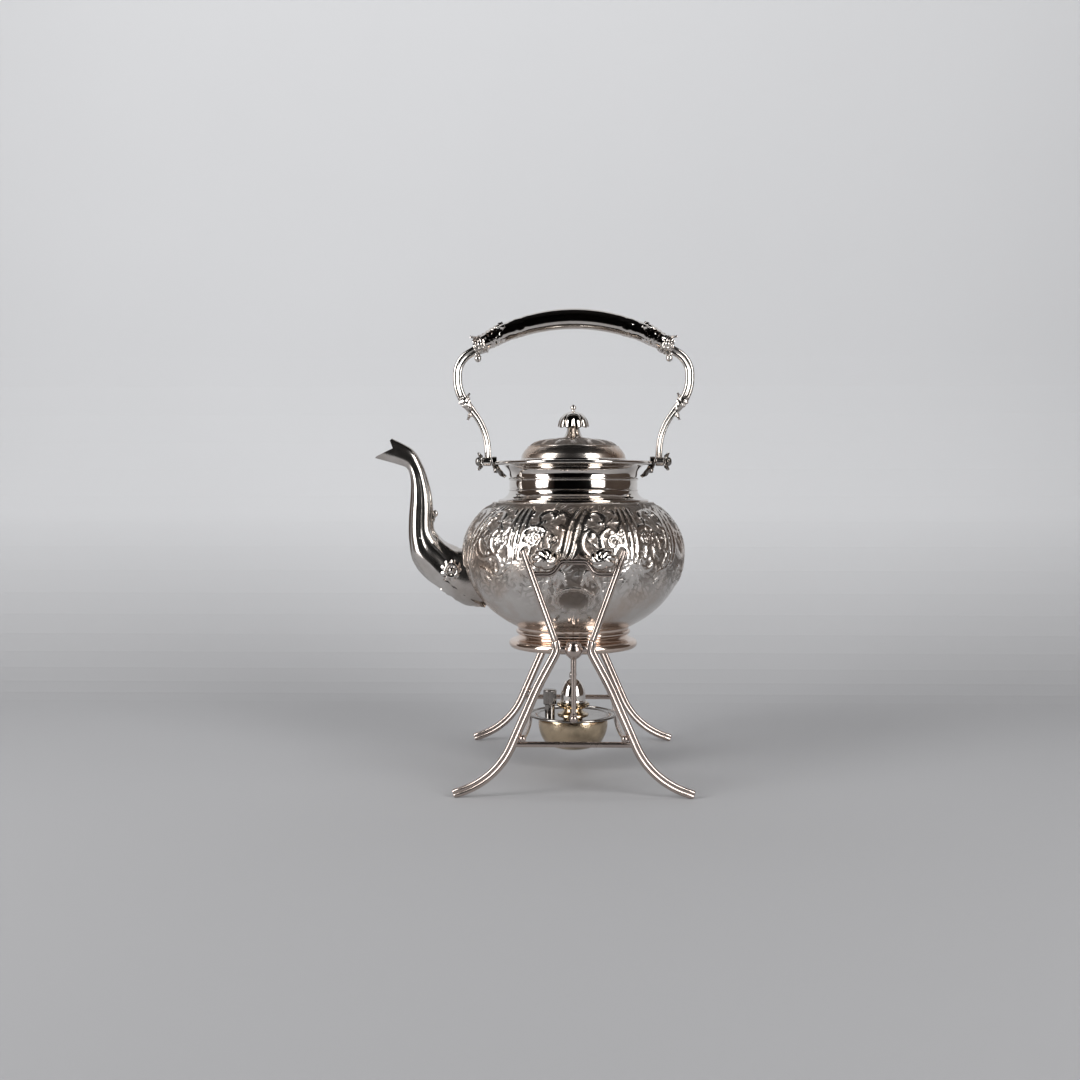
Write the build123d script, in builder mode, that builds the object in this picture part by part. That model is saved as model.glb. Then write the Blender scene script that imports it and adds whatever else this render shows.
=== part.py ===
from build123d import *
import math
import os

# Silver-plated spirit kettle on its stand, with lid, bail handle and spirit burner.
# Millimetres. The origin is on the table under the middle of the stand, +Z is up, +X points
# away from the spout and the two frames of the stand face -Y (front) and +Y (rear).

os.makedirs("parts", exist_ok=True)

# ---------------------------------------------------------------- driving dimensions
# clearances
seat_clearance = 0.35        # pieces that rest on each other but lift apart
side_clearance = 0.3         # faces that slide past each other
pin_clearance = 0.05         # radial, turning pins
cap_clearance = 0.08         # radial, the filler cap on its neck

# stand frames
leg_reed_radius = 2.0
leg_reed_pitch = 3.2
upright_reed_radius = 1.5
upright_reed_pitch = 2.4
tip_x = 38.3
tip_z = 187.0
waist_x = 11.8
waist_z = 113.2
shin_x = 27.0
shin_z = 85.0
ankle_x = 58.3
ankle_z = 13.4
toe_x = 91.0
toe_z = 2.6
waist_bend_radius = 12.0
shin_bend_radius = 200.0
ankle_bend_radius = 64.0
leg_lap = 6.5                # length of leg bar above the waist bend

# cradle bars
cradle_reed_radius = 1.3
cradle_reed_pitch = 1.8
cradle_dip_z = 169.4
cradle_top_z = 178.6
cradle_slope = 55.0          # degrees, side of the dip
cradle_bend_radius = 3.0

# waist boss and pendant
boss_radius = 6.2
boss_height = 12.5
boss_arm_radius = 2.0
pendant_radius = 2.1
pendant_end_z = 60.0
pendant_bead_radius = 3.0

# stretchers and side bars
stretcher_z = 40.7
stretcher_height = 5.3
stretcher_depth = 3.0
side_bar_radius = 1.9
side_bar_end_x = 38.4
side_bar_middle_x = 35.8
side_bar_middle_z = 40.6
side_bar_overhang = 3.0
side_bar_ball_radius = 2.8

# lugs
lug_x = 21.8
lug_reach = 11.2             # side of the belly out to the middle plane of a frame
lug_half_width = 10.6
lug_half_height = 8.8
lug_stem_radius = 4.5
lug_pad_radius = 8.0
lug_pad_inset = 0.2          # side of the belly in to the outer face of a pad
trunnion_radius = 2.5
trunnion_length = 1.8

# kettle body
belly_radius = 91.8
belly_above_lug = 0.25
belly_depth = 72.0           # widest level down to the bottom pole
shoulder_rise = 59.5         # height of the full upper ellipse
shoulder_height = 41.0       # widest level up to the shoulder's cut
body_wall = 1.4
strainer_hole_radius = 1.7
strainer_pitch = 7.5
strainer_drop = 16.0         # widest level down to the middle hole

# kettle foot
foot_radius = 53.5
foot_waist_radius = 44.8
foot_neck_radius = 48.75
foot_drop = 79.5             # widest level down to the underside of the foot
foot_edge_height = 6.7
foot_waist_height = 11.5
foot_height = 20.5
foot_wall = 2.6

# neck and mouth
neck_radius = 53.0
neck_base_radius = 62.5
neck_bead_height = 2.6
neck_cove_height = 10.4
neck_band_height = 18.2
neck_ring_height = 20.6
rim_height = 34.0            # shoulder up to the top of the rim
rim_radius = 65.8
rim_roll_radius = 1.5
neck_wall = 1.7
mouth_radius = 41.0
mouth_plate = 1.5
mouth_inset = 0.4            # top of the rim down to the mouth ring

# lid
bezel_radius = 44.5
bezel_thickness = 2.0
lid_skirt_radius = 39.9
lid_skirt_wall = 1.2
lid_skirt_depth = 8.0
dome_radius = 43.4
dome_height = 17.2
dome_wall = 1.2
vent_radius = 1.25
vent_y = 22.0

# finial
stem_base_radius = 8.6
stem_top_radius = 4.5
stem_height = 12.6
cap_radius = 13.1
cap_height = 13.0
cap_wall = 1.4
cap_lobes = 10
button_radius = 2.6
nut_radius = 4.4
nut_thickness = 3.0

# lid hinge
hinge_y = 48.0
hinge_barrel_radius = 2.2
hinge_pin_radius = 0.9
lid_knuckle_half = 2.6
neck_knuckle_end = 8.0
hinge_leaf_length = 9.5
hinge_leaf_thickness = 1.2

# bail handle
pivot_rise = 33.8            # shoulder up to the pivot
eye_stand_off = 2.5          # edge of the rim out to the inner face of an eye
eye_width = 6.6
eye_radius = 3.75
pivot_pin_radius = 1.5
flower_thickness = 6.0
flower_radius = 7.4
flower_core_radius = 3.4
flower_petals = 6
bracket_radius = 4.2
bracket_boss_length = 6.0
bracket_leaf_drop = 13.0     # pivot down to the leaf's tip on the neck
arm_foot_out = 2.5           # inner face of the eye out to the middle of the arm's foot
arm_knee_out = 3.7           # and to its knee
arm_knee_rise = 27.2
arm_side_out = 22.2          # end of the grip out to the upright part of the arm
arm_low_drop = 41.2          # end of the grip down to the lower corner of that part
arm_high_drop = 14.2         # and to its upper corner
arm_top_out = 6.6            # end of the grip to the arm's upper end
arm_top_drop = 5.2
arm_reed_radius = 2.15
arm_reed_pitch = 3.3
arm_low_reed_radius = 1.6
arm_low_reed_pitch = 2.4
arm_high_run = 11.8          # length of bar that each bend takes up on either side
arm_low_run = 11.8
arm_knee_run = 18.0
grip_crown_rise = 117.7
grip_arc_radius = 148.0
grip_half_span = 74.0
grip_middle_radius = 8.5
grip_end_radius = 6.9
grip_bore_radius = 4.6
collar_bead_radius = 8.4
collar_length = 8.8
collar_spigot_length = 6.0
spigot_clearance = 0.35
collar_bud_radius = 3.1
arm_bud_radius = 2.3

# burner
flange_radius = 36.7
flange_thickness = 1.2
bowl_radius = 28.4
bowl_foot_radius = 25.5
bowl_height = 27.2
bowl_dish = 6.0
bowl_wall = 1.0
gallery_base_radius = 13.0
gallery_waist_radius = 7.6
gallery_radius = 12.4
gallery_rise = 10.6          # flange top up to the gallery plate's top
wick_tube_radius = 4.6
wick_tube_rise = 17.6
wick_radius = 3.4
wick_stand_out = 3.0
wick_length = 46.0
filler_x = -19.4
filler_neck_radius = 4.2
filler_wall = 1.1
filler_neck_rise = 17.8
filler_cap_radius = 5.2
filler_cap_bottom = 8.6      # flange top up to the cap's lower edge
filler_cap_top = 1.8
filler_ribs = 18
washer_thickness = 1.2
snuffer_radius = 10.6
snuffer_height = 19.4
snuffer_wall = 1.1
knob_radius = 3.4

# ---------------------------------------------------------------- levels that follow
frame_y = belly_radius + lug_reach
pad_face = belly_radius - lug_pad_inset
stretcher_top_z = stretcher_z + stretcher_height / 2
cradle_half_height = cradle_reed_pitch / 2 + cradle_reed_radius
lug_z = cradle_dip_z + cradle_half_height + seat_clearance + lug_half_height
belly_z = lug_z + belly_above_lug
shoulder_z = belly_z + shoulder_height
foot_z = belly_z - foot_drop
rim_z = shoulder_z + rim_height
mouth_top_z = rim_z - mouth_inset
bezel_z = mouth_top_z + seat_clearance
dome_z = bezel_z + bezel_thickness
dome_top_z = dome_z + dome_height
hinge_z = mouth_top_z + seat_clearance + hinge_barrel_radius
pivot_z = shoulder_z + pivot_rise
flange_z = side_bar_middle_z + side_bar_radius + seat_clearance
flange_top_z = flange_z + flange_thickness
gallery_z = flange_top_z + gallery_rise
eye_inner_x = rim_radius + eye_stand_off
eye_outer_x = eye_inner_x + eye_width


def write(builder, name):
    """Label a finished piece and write it to its own file."""
    builder.part.label = name
    export_step(builder.part, f"parts/{name}.step")


def bar_plane(start, direction, y=0.0):
    """Section plane of a bar whose path lies in a plane parallel to XZ: local x runs along Y."""
    return Plane(
        origin=(start[0], y, start[1]), x_dir=(0, 1, 0), z_dir=(direction[0], 0, direction[1])
    )


def reed_section(radius, pitch):
    """Two reeds side by side, as wide as pitch plus two radii."""
    with Locations((0, pitch / 2), (0, -pitch / 2)):
        Circle(radius)


def mirrored(points, side):
    """Points (x, z) of the right-hand side, carried to the side given by its sign."""
    return [(side * x, z) for x, z in points]


def unit(start, end):
    """Unit direction from one (x, z) point to another."""
    length = math.hypot(end[0] - start[0], end[1] - start[1])
    return ((end[0] - start[0]) / length, (end[1] - start[1]) / length)


def bend_radius(points, run):
    """Radius of the bend at the middle one of three points that takes up a run on either side."""
    before = unit(points[0], points[1])
    after = unit(points[1], points[2])
    turn = math.acos(before[0] * after[0] + before[1] * after[1])
    return run / math.tan(turn / 2)


def oval_arc(centre, across, up, start, size):
    """Smooth arc of an oval about a point, by its two half axes and its angles in degrees."""
    steps = max(3, round(abs(size) / 22.5))
    angles = [math.radians(start + size * step / steps) for step in range(steps + 1)]
    points = [(centre[0] + across * math.cos(a), centre[1] + up * math.sin(a)) for a in angles]
    headings = [(-across * math.sin(a), up * math.cos(a)) for a in (angles[0], angles[-1])]
    turn = math.copysign(1, size)
    return Spline(*points, tangents=[(turn * x, turn * z) for x, z in headings])


# ---------------------------------------------------------------- stand
upright_down = unit((tip_x, tip_z), (waist_x, waist_z))
lap_point = (waist_x - upright_down[0] * leg_lap, waist_z - upright_down[1] * leg_lap)
leg_points = [lap_point, (waist_x, waist_z), (shin_x, shin_z), (ankle_x, ankle_z), (toe_x, toe_z)]
leg_bends = [waist_bend_radius, shin_bend_radius, ankle_bend_radius]
sides = (("left", -1), ("right", 1))
frames = (("front", -1), ("rear", 1))


def make_leg(side, y):
    """Reeded leg from the waist to the toe, flat where it stands on the table."""
    points = mirrored(leg_points, side)
    with BuildPart() as leg:
        with BuildLine(Plane.XZ.offset(-y)):
            FilletPolyline(*points, radius=leg_bends)
        with BuildSketch(bar_plane(points[0], unit(points[0], points[1]), y)):
            reed_section(leg_reed_radius, leg_reed_pitch)
        sweep()
        split(bisect_by=Plane.XY, keep=Keep.TOP)
    return leg


def make_upright(side, y):
    """Slim reeded upright from the leg's upper end to the tip."""
    points = mirrored([lap_point, (tip_x, tip_z)], side)
    length = math.hypot(tip_x - lap_point[0], tip_z - lap_point[1])
    with BuildPart() as upright:
        with BuildSketch(bar_plane(points[0], unit(*points), y)):
            reed_section(upright_reed_radius, upright_reed_pitch)
        extrude(amount=length)
    return upright


legs = {}
uprights = {}
for frame_name, frame_side in frames:
    for side_name, side in sides:
        key = f"{frame_name}_{side_name}"
        legs[key] = make_leg(side, frame_side * frame_y)
        uprights[key] = make_upright(side, frame_side * frame_y)
        write(legs[key], f"leg_{key}")
        write(uprights[key], f"upright_{key}")

# the dip's side stands one clearance off the lug, measured square to the slope
slope_normal = (math.sin(math.radians(cradle_slope)), math.cos(math.radians(cradle_slope)))
lug_support = math.hypot(lug_half_width * slope_normal[0], lug_half_height * slope_normal[1])
slope_distance = lug_support + seat_clearance + cradle_half_height
slope_point = (lug_x - slope_distance * slope_normal[0], lug_z - slope_distance * slope_normal[1])
slope_run = 1 / math.tan(math.radians(cradle_slope))
cradle_flat_x = slope_point[0] - (cradle_top_z - slope_point[1]) * slope_run
cradle_dip_x = slope_point[0] + (slope_point[1] - cradle_dip_z) * slope_run
upright_x = tip_x - (tip_z - cradle_dip_z) * (tip_x - waist_x) / (tip_z - waist_z)
cradle_end_x = upright_x - upright_reed_pitch / 2

# arms and stretchers end inside the inner reed of each leg
boss_arm_reach = waist_x - leg_reed_pitch / 2
stretcher_leg_x = shin_x + (shin_z - stretcher_z) * (ankle_x - shin_x) / (shin_z - ankle_z)
stretcher_reach = stretcher_leg_x - leg_reed_pitch / 2

for frame_name, frame_side in frames:
    y = frame_side * frame_y
    right_half = [
        (cradle_flat_x, cradle_top_z),
        (cradle_dip_x, cradle_dip_z),
        (cradle_end_x, cradle_dip_z),
    ]
    points = mirrored(right_half, -1)[::-1] + right_half
    with BuildPart() as cradle:
        with BuildLine(Plane.XZ.offset(-y)):
            FilletPolyline(*points, radius=cradle_bend_radius)
        with BuildSketch(bar_plane(points[0], (1, 0), y)):
            reed_section(cradle_reed_radius, cradle_reed_pitch)
        sweep()
        for side_name, side in sides:
            add(uprights[f"{frame_name}_{side_name}"].part, mode=Mode.SUBTRACT)
    write(cradle, f"cradle_{frame_name}")

    boss_bottom_z = waist_z - boss_height * 0.6
    boss_top_z = waist_z + boss_height * 0.4
    with BuildPart() as boss:
        with BuildSketch(Plane.XZ.offset(-y)):
            with BuildLine():
                Spline(
                    (pendant_radius, boss_bottom_z),
                    (boss_radius * 0.82, waist_z - boss_height * 0.28),
                    (boss_radius, waist_z),
                    (boss_radius * 0.76, waist_z + boss_height * 0.26),
                    (0, boss_top_z),
                    tangents=((1, 0.4), (-1, 0)),
                )
                Polyline((0, boss_top_z), (0, boss_bottom_z), (pendant_radius, boss_bottom_z))
            make_face()
        revolve(axis=Axis((0, y, 0), (0, 0, 1)))
        with BuildSketch(Plane.YZ.offset(-boss_arm_reach)):
            with Locations((y, waist_z)):
                Circle(boss_arm_radius)
        extrude(amount=2 * boss_arm_reach)
        for side_name, side in sides:
            add(legs[f"{frame_name}_{side_name}"].part, mode=Mode.SUBTRACT)
    write(boss, f"waist_boss_{frame_name}")

    with BuildPart() as pendant:
        with BuildSketch(Plane.XY.offset(pendant_end_z)):
            with Locations((0, y)):
                Circle(pendant_radius)
        extrude(amount=boss_bottom_z - pendant_end_z)
        with Locations((0, y, pendant_end_z)):
            Sphere(pendant_bead_radius)
    write(pendant, f"pendant_{frame_name}")

stretchers = {}
for frame_name, frame_side in frames:
    y = frame_side * frame_y
    with BuildPart() as stretcher:
        with BuildSketch(Plane.YZ.offset(-stretcher_reach)):
            with Locations((y, stretcher_z)):
                RectangleRounded(stretcher_depth, stretcher_height, stretcher_depth * 0.45)
        extrude(amount=2 * stretcher_reach)
        for side_name, side in sides:
            add(legs[f"{frame_name}_{side_name}"].part, mode=Mode.SUBTRACT)
    stretchers[frame_name] = stretcher
    write(stretcher, f"stretcher_{frame_name}")

side_bar_end_y = frame_y + side_bar_overhang
side_bar_end_z = stretcher_top_z + side_bar_radius + 0.4
for side_name, side in sides:
    end_front = Vector(side * side_bar_end_x, -side_bar_end_y, side_bar_end_z)
    middle = Vector(side * side_bar_middle_x, 0, side_bar_middle_z)
    end_rear = Vector(side * side_bar_end_x, side_bar_end_y, side_bar_end_z)
    with BuildPart() as side_bar:
        with BuildLine() as bar_path:
            ThreePointArc(end_front, middle, end_rear)
        with BuildSketch(Plane(origin=end_front, z_dir=bar_path.line % 0)):
            Circle(side_bar_radius)
        sweep()
        with Locations(end_front, end_rear):
            Sphere(side_bar_ball_radius)
        for frame_name, frame_side in frames:
            add(legs[f"{frame_name}_{side_name}"].part, mode=Mode.SUBTRACT)
            add(stretchers[frame_name].part, mode=Mode.SUBTRACT)
    write(side_bar, f"side_bar_{side_name}")

# ---------------------------------------------------------------- kettle body
with BuildPart() as body_form:
    with BuildSketch(Plane.XZ):
        with BuildLine():
            cut_angle = math.degrees(math.asin(shoulder_height / shoulder_rise))
            lower = oval_arc((0, belly_z), belly_radius, belly_depth, -90, 90)
            upper = oval_arc((0, belly_z), belly_radius, shoulder_rise, 0, cut_angle)
            Polyline(upper @ 1, (0, shoulder_z), lower @ 0)
        make_face()
    revolve(axis=Axis.Z)

neck_bore = neck_radius - neck_wall
with BuildPart() as body_shell:
    add(body_form.part)
    with BuildSketch(Plane.XZ):
        with BuildLine():
            inner_radius = belly_radius - body_wall
            inner_rise = shoulder_rise - body_wall
            inner_height = shoulder_height - body_wall
            inner_angle = math.degrees(math.asin(inner_height / inner_rise))
            inner_low = oval_arc((0, belly_z), inner_radius, belly_depth - body_wall, -90, 90)
            inner_top = oval_arc((0, belly_z), inner_radius, inner_rise, 0, inner_angle)
            Polyline(inner_top @ 1, (0, belly_z + inner_height), inner_low @ 0)
        make_face()
    revolve(axis=Axis.Z, mode=Mode.SUBTRACT)
    with BuildSketch(Plane.XY.offset(shoulder_z)):
        Circle(neck_bore)
    extrude(amount=-2 * body_wall, mode=Mode.SUBTRACT)
    # strainer holes behind the spout
    strainer_z = belly_z - strainer_drop
    with BuildSketch(Plane.YZ.offset(-belly_radius)):
        with Locations((0, strainer_z)):
            with GridLocations(strainer_pitch, strainer_pitch, 3, 3):
                Circle(strainer_hole_radius)
    extrude(amount=belly_radius * 0.3, mode=Mode.SUBTRACT)
write(body_shell, "body_shell")

with BuildPart() as foot_ring:
    waist_level = foot_z + foot_waist_height
    top_level = foot_z + foot_height
    edge_level = foot_z + foot_edge_height
    with BuildSketch(Plane.XZ):
        with BuildLine():
            Line((foot_waist_radius - foot_wall, foot_z), (foot_radius - 3.0, foot_z))
            ThreePointArc(
                (foot_radius - 3.0, foot_z),
                (foot_radius, foot_z + foot_edge_height * 0.48),
                (foot_radius - 2.2, edge_level),
            )
            ThreePointArc(
                (foot_radius - 2.2, edge_level),
                (foot_waist_radius + 1.9, foot_z + foot_waist_height * 0.75),
                (foot_waist_radius, waist_level),
            )
            ThreePointArc(
                (foot_waist_radius, waist_level),
                (foot_waist_radius + 2.9, waist_level + 1.9),
                (foot_waist_radius + 1.4, waist_level + 4.2),
            )
            ThreePointArc(
                (foot_waist_radius + 1.4, waist_level + 4.2),
                (foot_waist_radius + 2.1, waist_level + 6.6),
                (foot_neck_radius, top_level),
            )
            Polyline(
                (foot_neck_radius, top_level),
                (foot_waist_radius - foot_wall, top_level),
                (foot_waist_radius - foot_wall, foot_z),
            )
        make_face()
    revolve(axis=Axis.Z)
    add(body_form.part, mode=Mode.SUBTRACT)
write(foot_ring, "foot_ring")

base_edge = neck_base_radius - 3.5
bead_top = shoulder_z + neck_bead_height
cove_top = shoulder_z + neck_cove_height
band_bottom = cove_top + 0.9
band_top = shoulder_z + neck_band_height
ring_top = shoulder_z + neck_ring_height
roll_z = rim_z - rim_roll_radius
roll_radius_centre = rim_radius - rim_roll_radius


def neck_side():
    """Outer side of the neck, from the bead on the shoulder up to the top of the rim."""
    ThreePointArc(
        (neck_base_radius - 1.0, shoulder_z),
        (neck_base_radius, shoulder_z + neck_bead_height * 0.5),
        (neck_base_radius - 1.0, bead_top),
    )
    Line((neck_base_radius - 1.0, bead_top), (base_edge, bead_top))
    ThreePointArc(
        (base_edge, bead_top),
        (neck_radius + 1.6, shoulder_z + neck_cove_height * 0.6),
        (neck_radius - 0.3, cove_top),
    )
    Line((neck_radius - 0.3, cove_top), (neck_radius - 0.3, band_bottom))
    ThreePointArc(
        (neck_radius - 0.3, band_bottom),
        (neck_radius + 1.0, (band_bottom + band_top) / 2),
        (neck_radius, band_top),
    )
    ThreePointArc(
        (neck_radius, band_top),
        (neck_radius + 1.4, (band_top + ring_top) / 2),
        (neck_radius, ring_top),
    )
    ThreePointArc(
        (neck_radius, ring_top),
        (neck_radius + 3.6, ring_top + (roll_z - ring_top) * 0.62),
        (roll_radius_centre - 0.4, roll_z - rim_roll_radius),
    )
    ThreePointArc(
        (roll_radius_centre - 0.4, roll_z - rim_roll_radius),
        (rim_radius, roll_z),
        (roll_radius_centre - 0.4, rim_z),
    )


with BuildPart() as neck:
    with BuildSketch(Plane.YZ):
        with BuildLine():
            neck_side()
            Line((roll_radius_centre - 0.4, rim_z), (roll_radius_centre - 2.0, roll_z - 0.2))
            ThreePointArc(
                (roll_radius_centre - 2.0, roll_z - 0.2),
                (neck_radius + 3.6 - neck_wall, ring_top + (roll_z - ring_top) * 0.68),
                (neck_bore, ring_top),
            )
            Polyline((neck_bore, ring_top), (neck_bore, shoulder_z), (neck_base_radius - 1.0, shoulder_z))
        make_face()
    revolve(axis=Axis.Z)
write(neck, "neck")

# the neck with all that it encloses, which the handle's brackets stay out of
with BuildPart() as neck_form:
    with BuildSketch(Plane.YZ):
        with BuildLine():
            neck_side()
            Polyline(
                (roll_radius_centre - 0.4, rim_z),
                (roll_radius_centre - 0.4, pivot_z + 2 * bracket_radius),
                (0, pivot_z + 2 * bracket_radius),
                (0, shoulder_z),
                (neck_base_radius - 1.0, shoulder_z),
            )
        make_face()
    revolve(axis=Axis.Z)

with BuildPart() as mouth_ring:
    with BuildSketch(Plane.XY.offset(mouth_top_z - mouth_plate)):
        Circle(rim_radius - rim_roll_radius)
        Circle(mouth_radius, mode=Mode.SUBTRACT)
    extrude(amount=mouth_plate)
    add(neck.part, mode=Mode.SUBTRACT)
write(mouth_ring, "mouth_ring")

# ---------------------------------------------------------------- spout
# lower and upper outline as out from the belly and up from its widest level, then half breadth
spout_stations = [
    (-24.0, -44.0, -8.0, 3.0, 19.0),
    (-3.0, -45.5, 1.5, 2.5, 18.5),
    (15.8, -33.7, 6.0, 3.5, 16.0),
    (30.0, -23.3, 14.8, 7.6, 14.2),
    (41.7, -9.5, 20.2, 13.0, 12.6),
    (45.2, 6.0, 24.0, 18.5, 10.8),
    (45.7, 24.0, 24.7, 25.0, 9.6),
    (44.0, 47.3, 25.5, 43.0, 8.8),
    (43.9, 60.0, 28.7, 58.0, 7.3),
    (46.5, 68.5, 33.8, 72.5, 6.1),
    (52.2, 71.7, 41.7, 84.8, 5.9),
    (73.3, 77.7, 59.0, 94.1, 5.4),
]
spout_root_stations = 4
spout_wall = 1.2
beak_throat = (58.0, 85.7)
rosette_out = 8.2
rosette_drop = 14.9
rosette_radius = 6.6
rosette_half_span = 18.6


def spout_sections(wall):
    """Sections of the spout, square to its middle line and smaller by the wall."""
    sections = []
    for low_x, low_z, high_x, high_z, half_breadth in spout_stations:
        low = (-belly_radius - low_x, belly_z + low_z)
        high = (-belly_radius - high_x, belly_z + high_z)
        middle = ((low[0] + high[0]) / 2, (low[1] + high[1]) / 2)
        across = unit(low, high)
        half_depth = math.hypot(high[0] - low[0], high[1] - low[1]) / 2
        with BuildSketch(bar_plane(middle, (-across[1], across[0]))) as section:
            Ellipse(half_breadth - wall, half_depth - wall)
        sections.append(section.sketch)
    return sections


def spout_forms(wall):
    """Swollen root of the spout, then its throat and beak, smaller by the wall."""
    sections = spout_sections(wall)
    with BuildPart() as root:
        loft(sections[:spout_root_stations])
    with BuildPart() as throat:
        loft(sections[spout_root_stations - 1 :])
    return root.part, throat.part


spout_outside = spout_forms(0)
with BuildPart() as spout:
    for form in spout_outside:
        add(form)
    for form in spout_forms(spout_wall):
        add(form, mode=Mode.SUBTRACT)
    beak_low = spout_stations[-1][:2]
    beak_high = spout_stations[-1][2:4]
    beak_out = unit(beak_high, beak_low)
    with BuildSketch(Plane.XZ):
        with BuildLine():
            lip_end = (-belly_radius - beak_throat[0], belly_z + beak_throat[1])
            lower_lip = (-belly_radius - beak_low[0] + 1.2, belly_z + beak_low[1] + 1.4)
            upper_lip = (-belly_radius - beak_high[0] - 0.9, belly_z + beak_high[1] - 1.2)
            Polyline(lip_end, lower_lip, (lower_lip[0] - 6, upper_lip[1]), upper_lip, close=True)
        make_face()
    extrude(amount=belly_radius, both=True, mode=Mode.SUBTRACT)
    add(body_form.part, mode=Mode.SUBTRACT)
write(spout, "spout")

for frame_name, frame_side in frames:
    centre = (-belly_radius - rosette_out, belly_z - rosette_drop)
    with BuildPart() as rosette:
        with BuildSketch(Plane.XZ.offset(-frame_side * (rosette_half_span - 4.0))):
            with Locations(centre):
                Circle(rosette_radius)
        extrude(amount=-frame_side * 2.6)
        with Locations((centre[0], frame_side * (rosette_half_span - 1.6), centre[1])):
            Sphere(rosette_radius * 0.5)
        with BuildSketch(Plane.XZ.offset(-frame_side * (rosette_half_span - 4.0))):
            with Locations(centre):
                Circle(rosette_radius * 0.7)
        extrude(amount=frame_side * 8.0)
        for form in spout_outside:
            add(form, mode=Mode.SUBTRACT)
    write(rosette, f"spout_rosette_{frame_name}")

# ---------------------------------------------------------------- lugs
with BuildPart() as lug_ball:
    Sphere(lug_half_height)
    scale(by=(lug_half_width / lug_half_height, 1, 1))

for frame_name, frame_side in frames:
    pad_face_y = frame_side * pad_face
    stem_span = frame_y - pad_face

    with BuildPart() as spout_lug:
        with BuildSketch(Plane.XZ.offset(-frame_side * frame_y)):
            with Locations((-lug_x, lug_z)):
                Circle(lug_stem_radius)
        extrude(amount=frame_side * (stem_span - side_clearance))
        with Locations((-lug_x, frame_side * frame_y, lug_z)):
            add(lug_ball.part)
        with BuildSketch(Plane.XZ.offset(-frame_side * frame_y)):
            with Locations((-lug_x, lug_z)):
                Circle(trunnion_radius)
        extrude(amount=frame_side * (stem_span + trunnion_length - side_clearance))
    write(spout_lug, f"spout_lug_{frame_name}")

    with BuildPart() as lug_pad:
        with BuildSketch(Plane.XZ.offset(-pad_face_y)):
            with Locations((-lug_x, lug_z)):
                Circle(lug_pad_radius)
                Circle(trunnion_radius + pin_clearance, mode=Mode.SUBTRACT)
        extrude(amount=frame_side * lug_pad_radius)
        add(body_form.part, mode=Mode.SUBTRACT)
    write(lug_pad, f"lug_pad_{frame_name}")

    with BuildPart() as back_lug:
        with BuildSketch(Plane.XZ.offset(-frame_side * frame_y)):
            with Locations((lug_x, lug_z)):
                Circle(lug_stem_radius)
        extrude(amount=frame_side * (stem_span + lug_stem_radius))
        with Locations((lug_x, frame_side * frame_y, lug_z)):
            add(lug_ball.part)
        with BuildSketch(Plane.XZ.offset(-pad_face_y)):
            with Locations((lug_x, lug_z)):
                Circle(lug_pad_radius)
        extrude(amount=frame_side * lug_pad_radius)
        add(body_form.part, mode=Mode.SUBTRACT)
    write(back_lug, f"back_lug_{frame_name}")

# ---------------------------------------------------------------- handle pivots
nut_inner_x = eye_outer_x + side_clearance
nut_outer_x = nut_inner_x + flower_thickness
with BuildPart() as left_bracket:
    with BuildSketch(Plane.YZ.offset(side_clearance - eye_inner_x)):
        with Locations((0, pivot_z)):
            Circle(bracket_radius)
    extrude(amount=bracket_boss_length)
    # leaf that runs in under the rim to the flare of the neck
    with BuildSketch(Plane.XZ):
        with BuildLine():
            Polyline(
                (side_clearance - eye_inner_x, pivot_z + 1.0),
                (side_clearance - eye_inner_x, pivot_z - 5.0),
                (1.4 - rim_radius, pivot_z - 9.0),
                (-neck_radius - 2.0, pivot_z - bracket_leaf_drop),
                (-neck_radius - 2.0, pivot_z + 1.0),
                close=True,
            )
        make_face()
    extrude(amount=bracket_radius * 0.8, both=True)
    add(neck_form.part, mode=Mode.SUBTRACT)
    with BuildSketch(Plane.YZ.offset(side_clearance - eye_inner_x)):
        with Locations((0, pivot_z)):
            Circle(pivot_pin_radius)
    extrude(amount=1.5, mode=Mode.SUBTRACT)
write(left_bracket, "handle_bracket_left")

with BuildPart() as right_bracket:
    mirror(left_bracket.part, about=Plane.YZ)
write(right_bracket, "handle_bracket_right")

for side_name, side in sides:
    with BuildPart() as pivot_pin:
        with BuildSketch(Plane.YZ.offset(side * (eye_inner_x - side_clearance - 1.5))):
            with Locations((0, pivot_z)):
                Circle(pivot_pin_radius)
        extrude(amount=side * (nut_outer_x - 1.0 - eye_inner_x + side_clearance + 1.5))
    write(pivot_pin, f"pivot_pin_{side_name}")

    with BuildPart() as flower_nut:
        with BuildSketch(Plane.XZ):
            with BuildLine():
                Polyline(
                    (side * nut_inner_x, pivot_z),
                    (side * nut_inner_x, pivot_z + flower_core_radius),
                    (side * (nut_inner_x + flower_thickness * 0.3), pivot_z + flower_core_radius),
                    (side * (nut_outer_x - 1.2), pivot_z + flower_radius),
                    (side * nut_outer_x, pivot_z + flower_radius),
                    (side * (nut_outer_x - 2.0), pivot_z + flower_core_radius * 0.9),
                    (side * (nut_outer_x + 0.6), pivot_z + flower_core_radius * 0.4),
                    (side * (nut_outer_x + 0.6), pivot_z),
                    close=True,
                )
            make_face()
        revolve(axis=Axis((0, 0, pivot_z), (1, 0, 0)))
        with BuildSketch(Plane.YZ.offset(side * nut_inner_x)):
            with Locations((0, pivot_z)):
                with PolarLocations(flower_radius * 1.02, flower_petals, start_angle=30):
                    Circle(flower_radius * 0.26)
        extrude(amount=side * 2 * flower_thickness, mode=Mode.SUBTRACT)
        add(pivot_pin.part, mode=Mode.SUBTRACT)
    write(flower_nut, f"flower_nut_{side_name}")

# ---------------------------------------------------------------- lid and its hinge
dome_outline = [(1.0, 0.0), (0.975, 0.24), (0.876, 0.55), (0.703, 0.83), (0.37, 0.97), (0.0, 1.0)]


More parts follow.
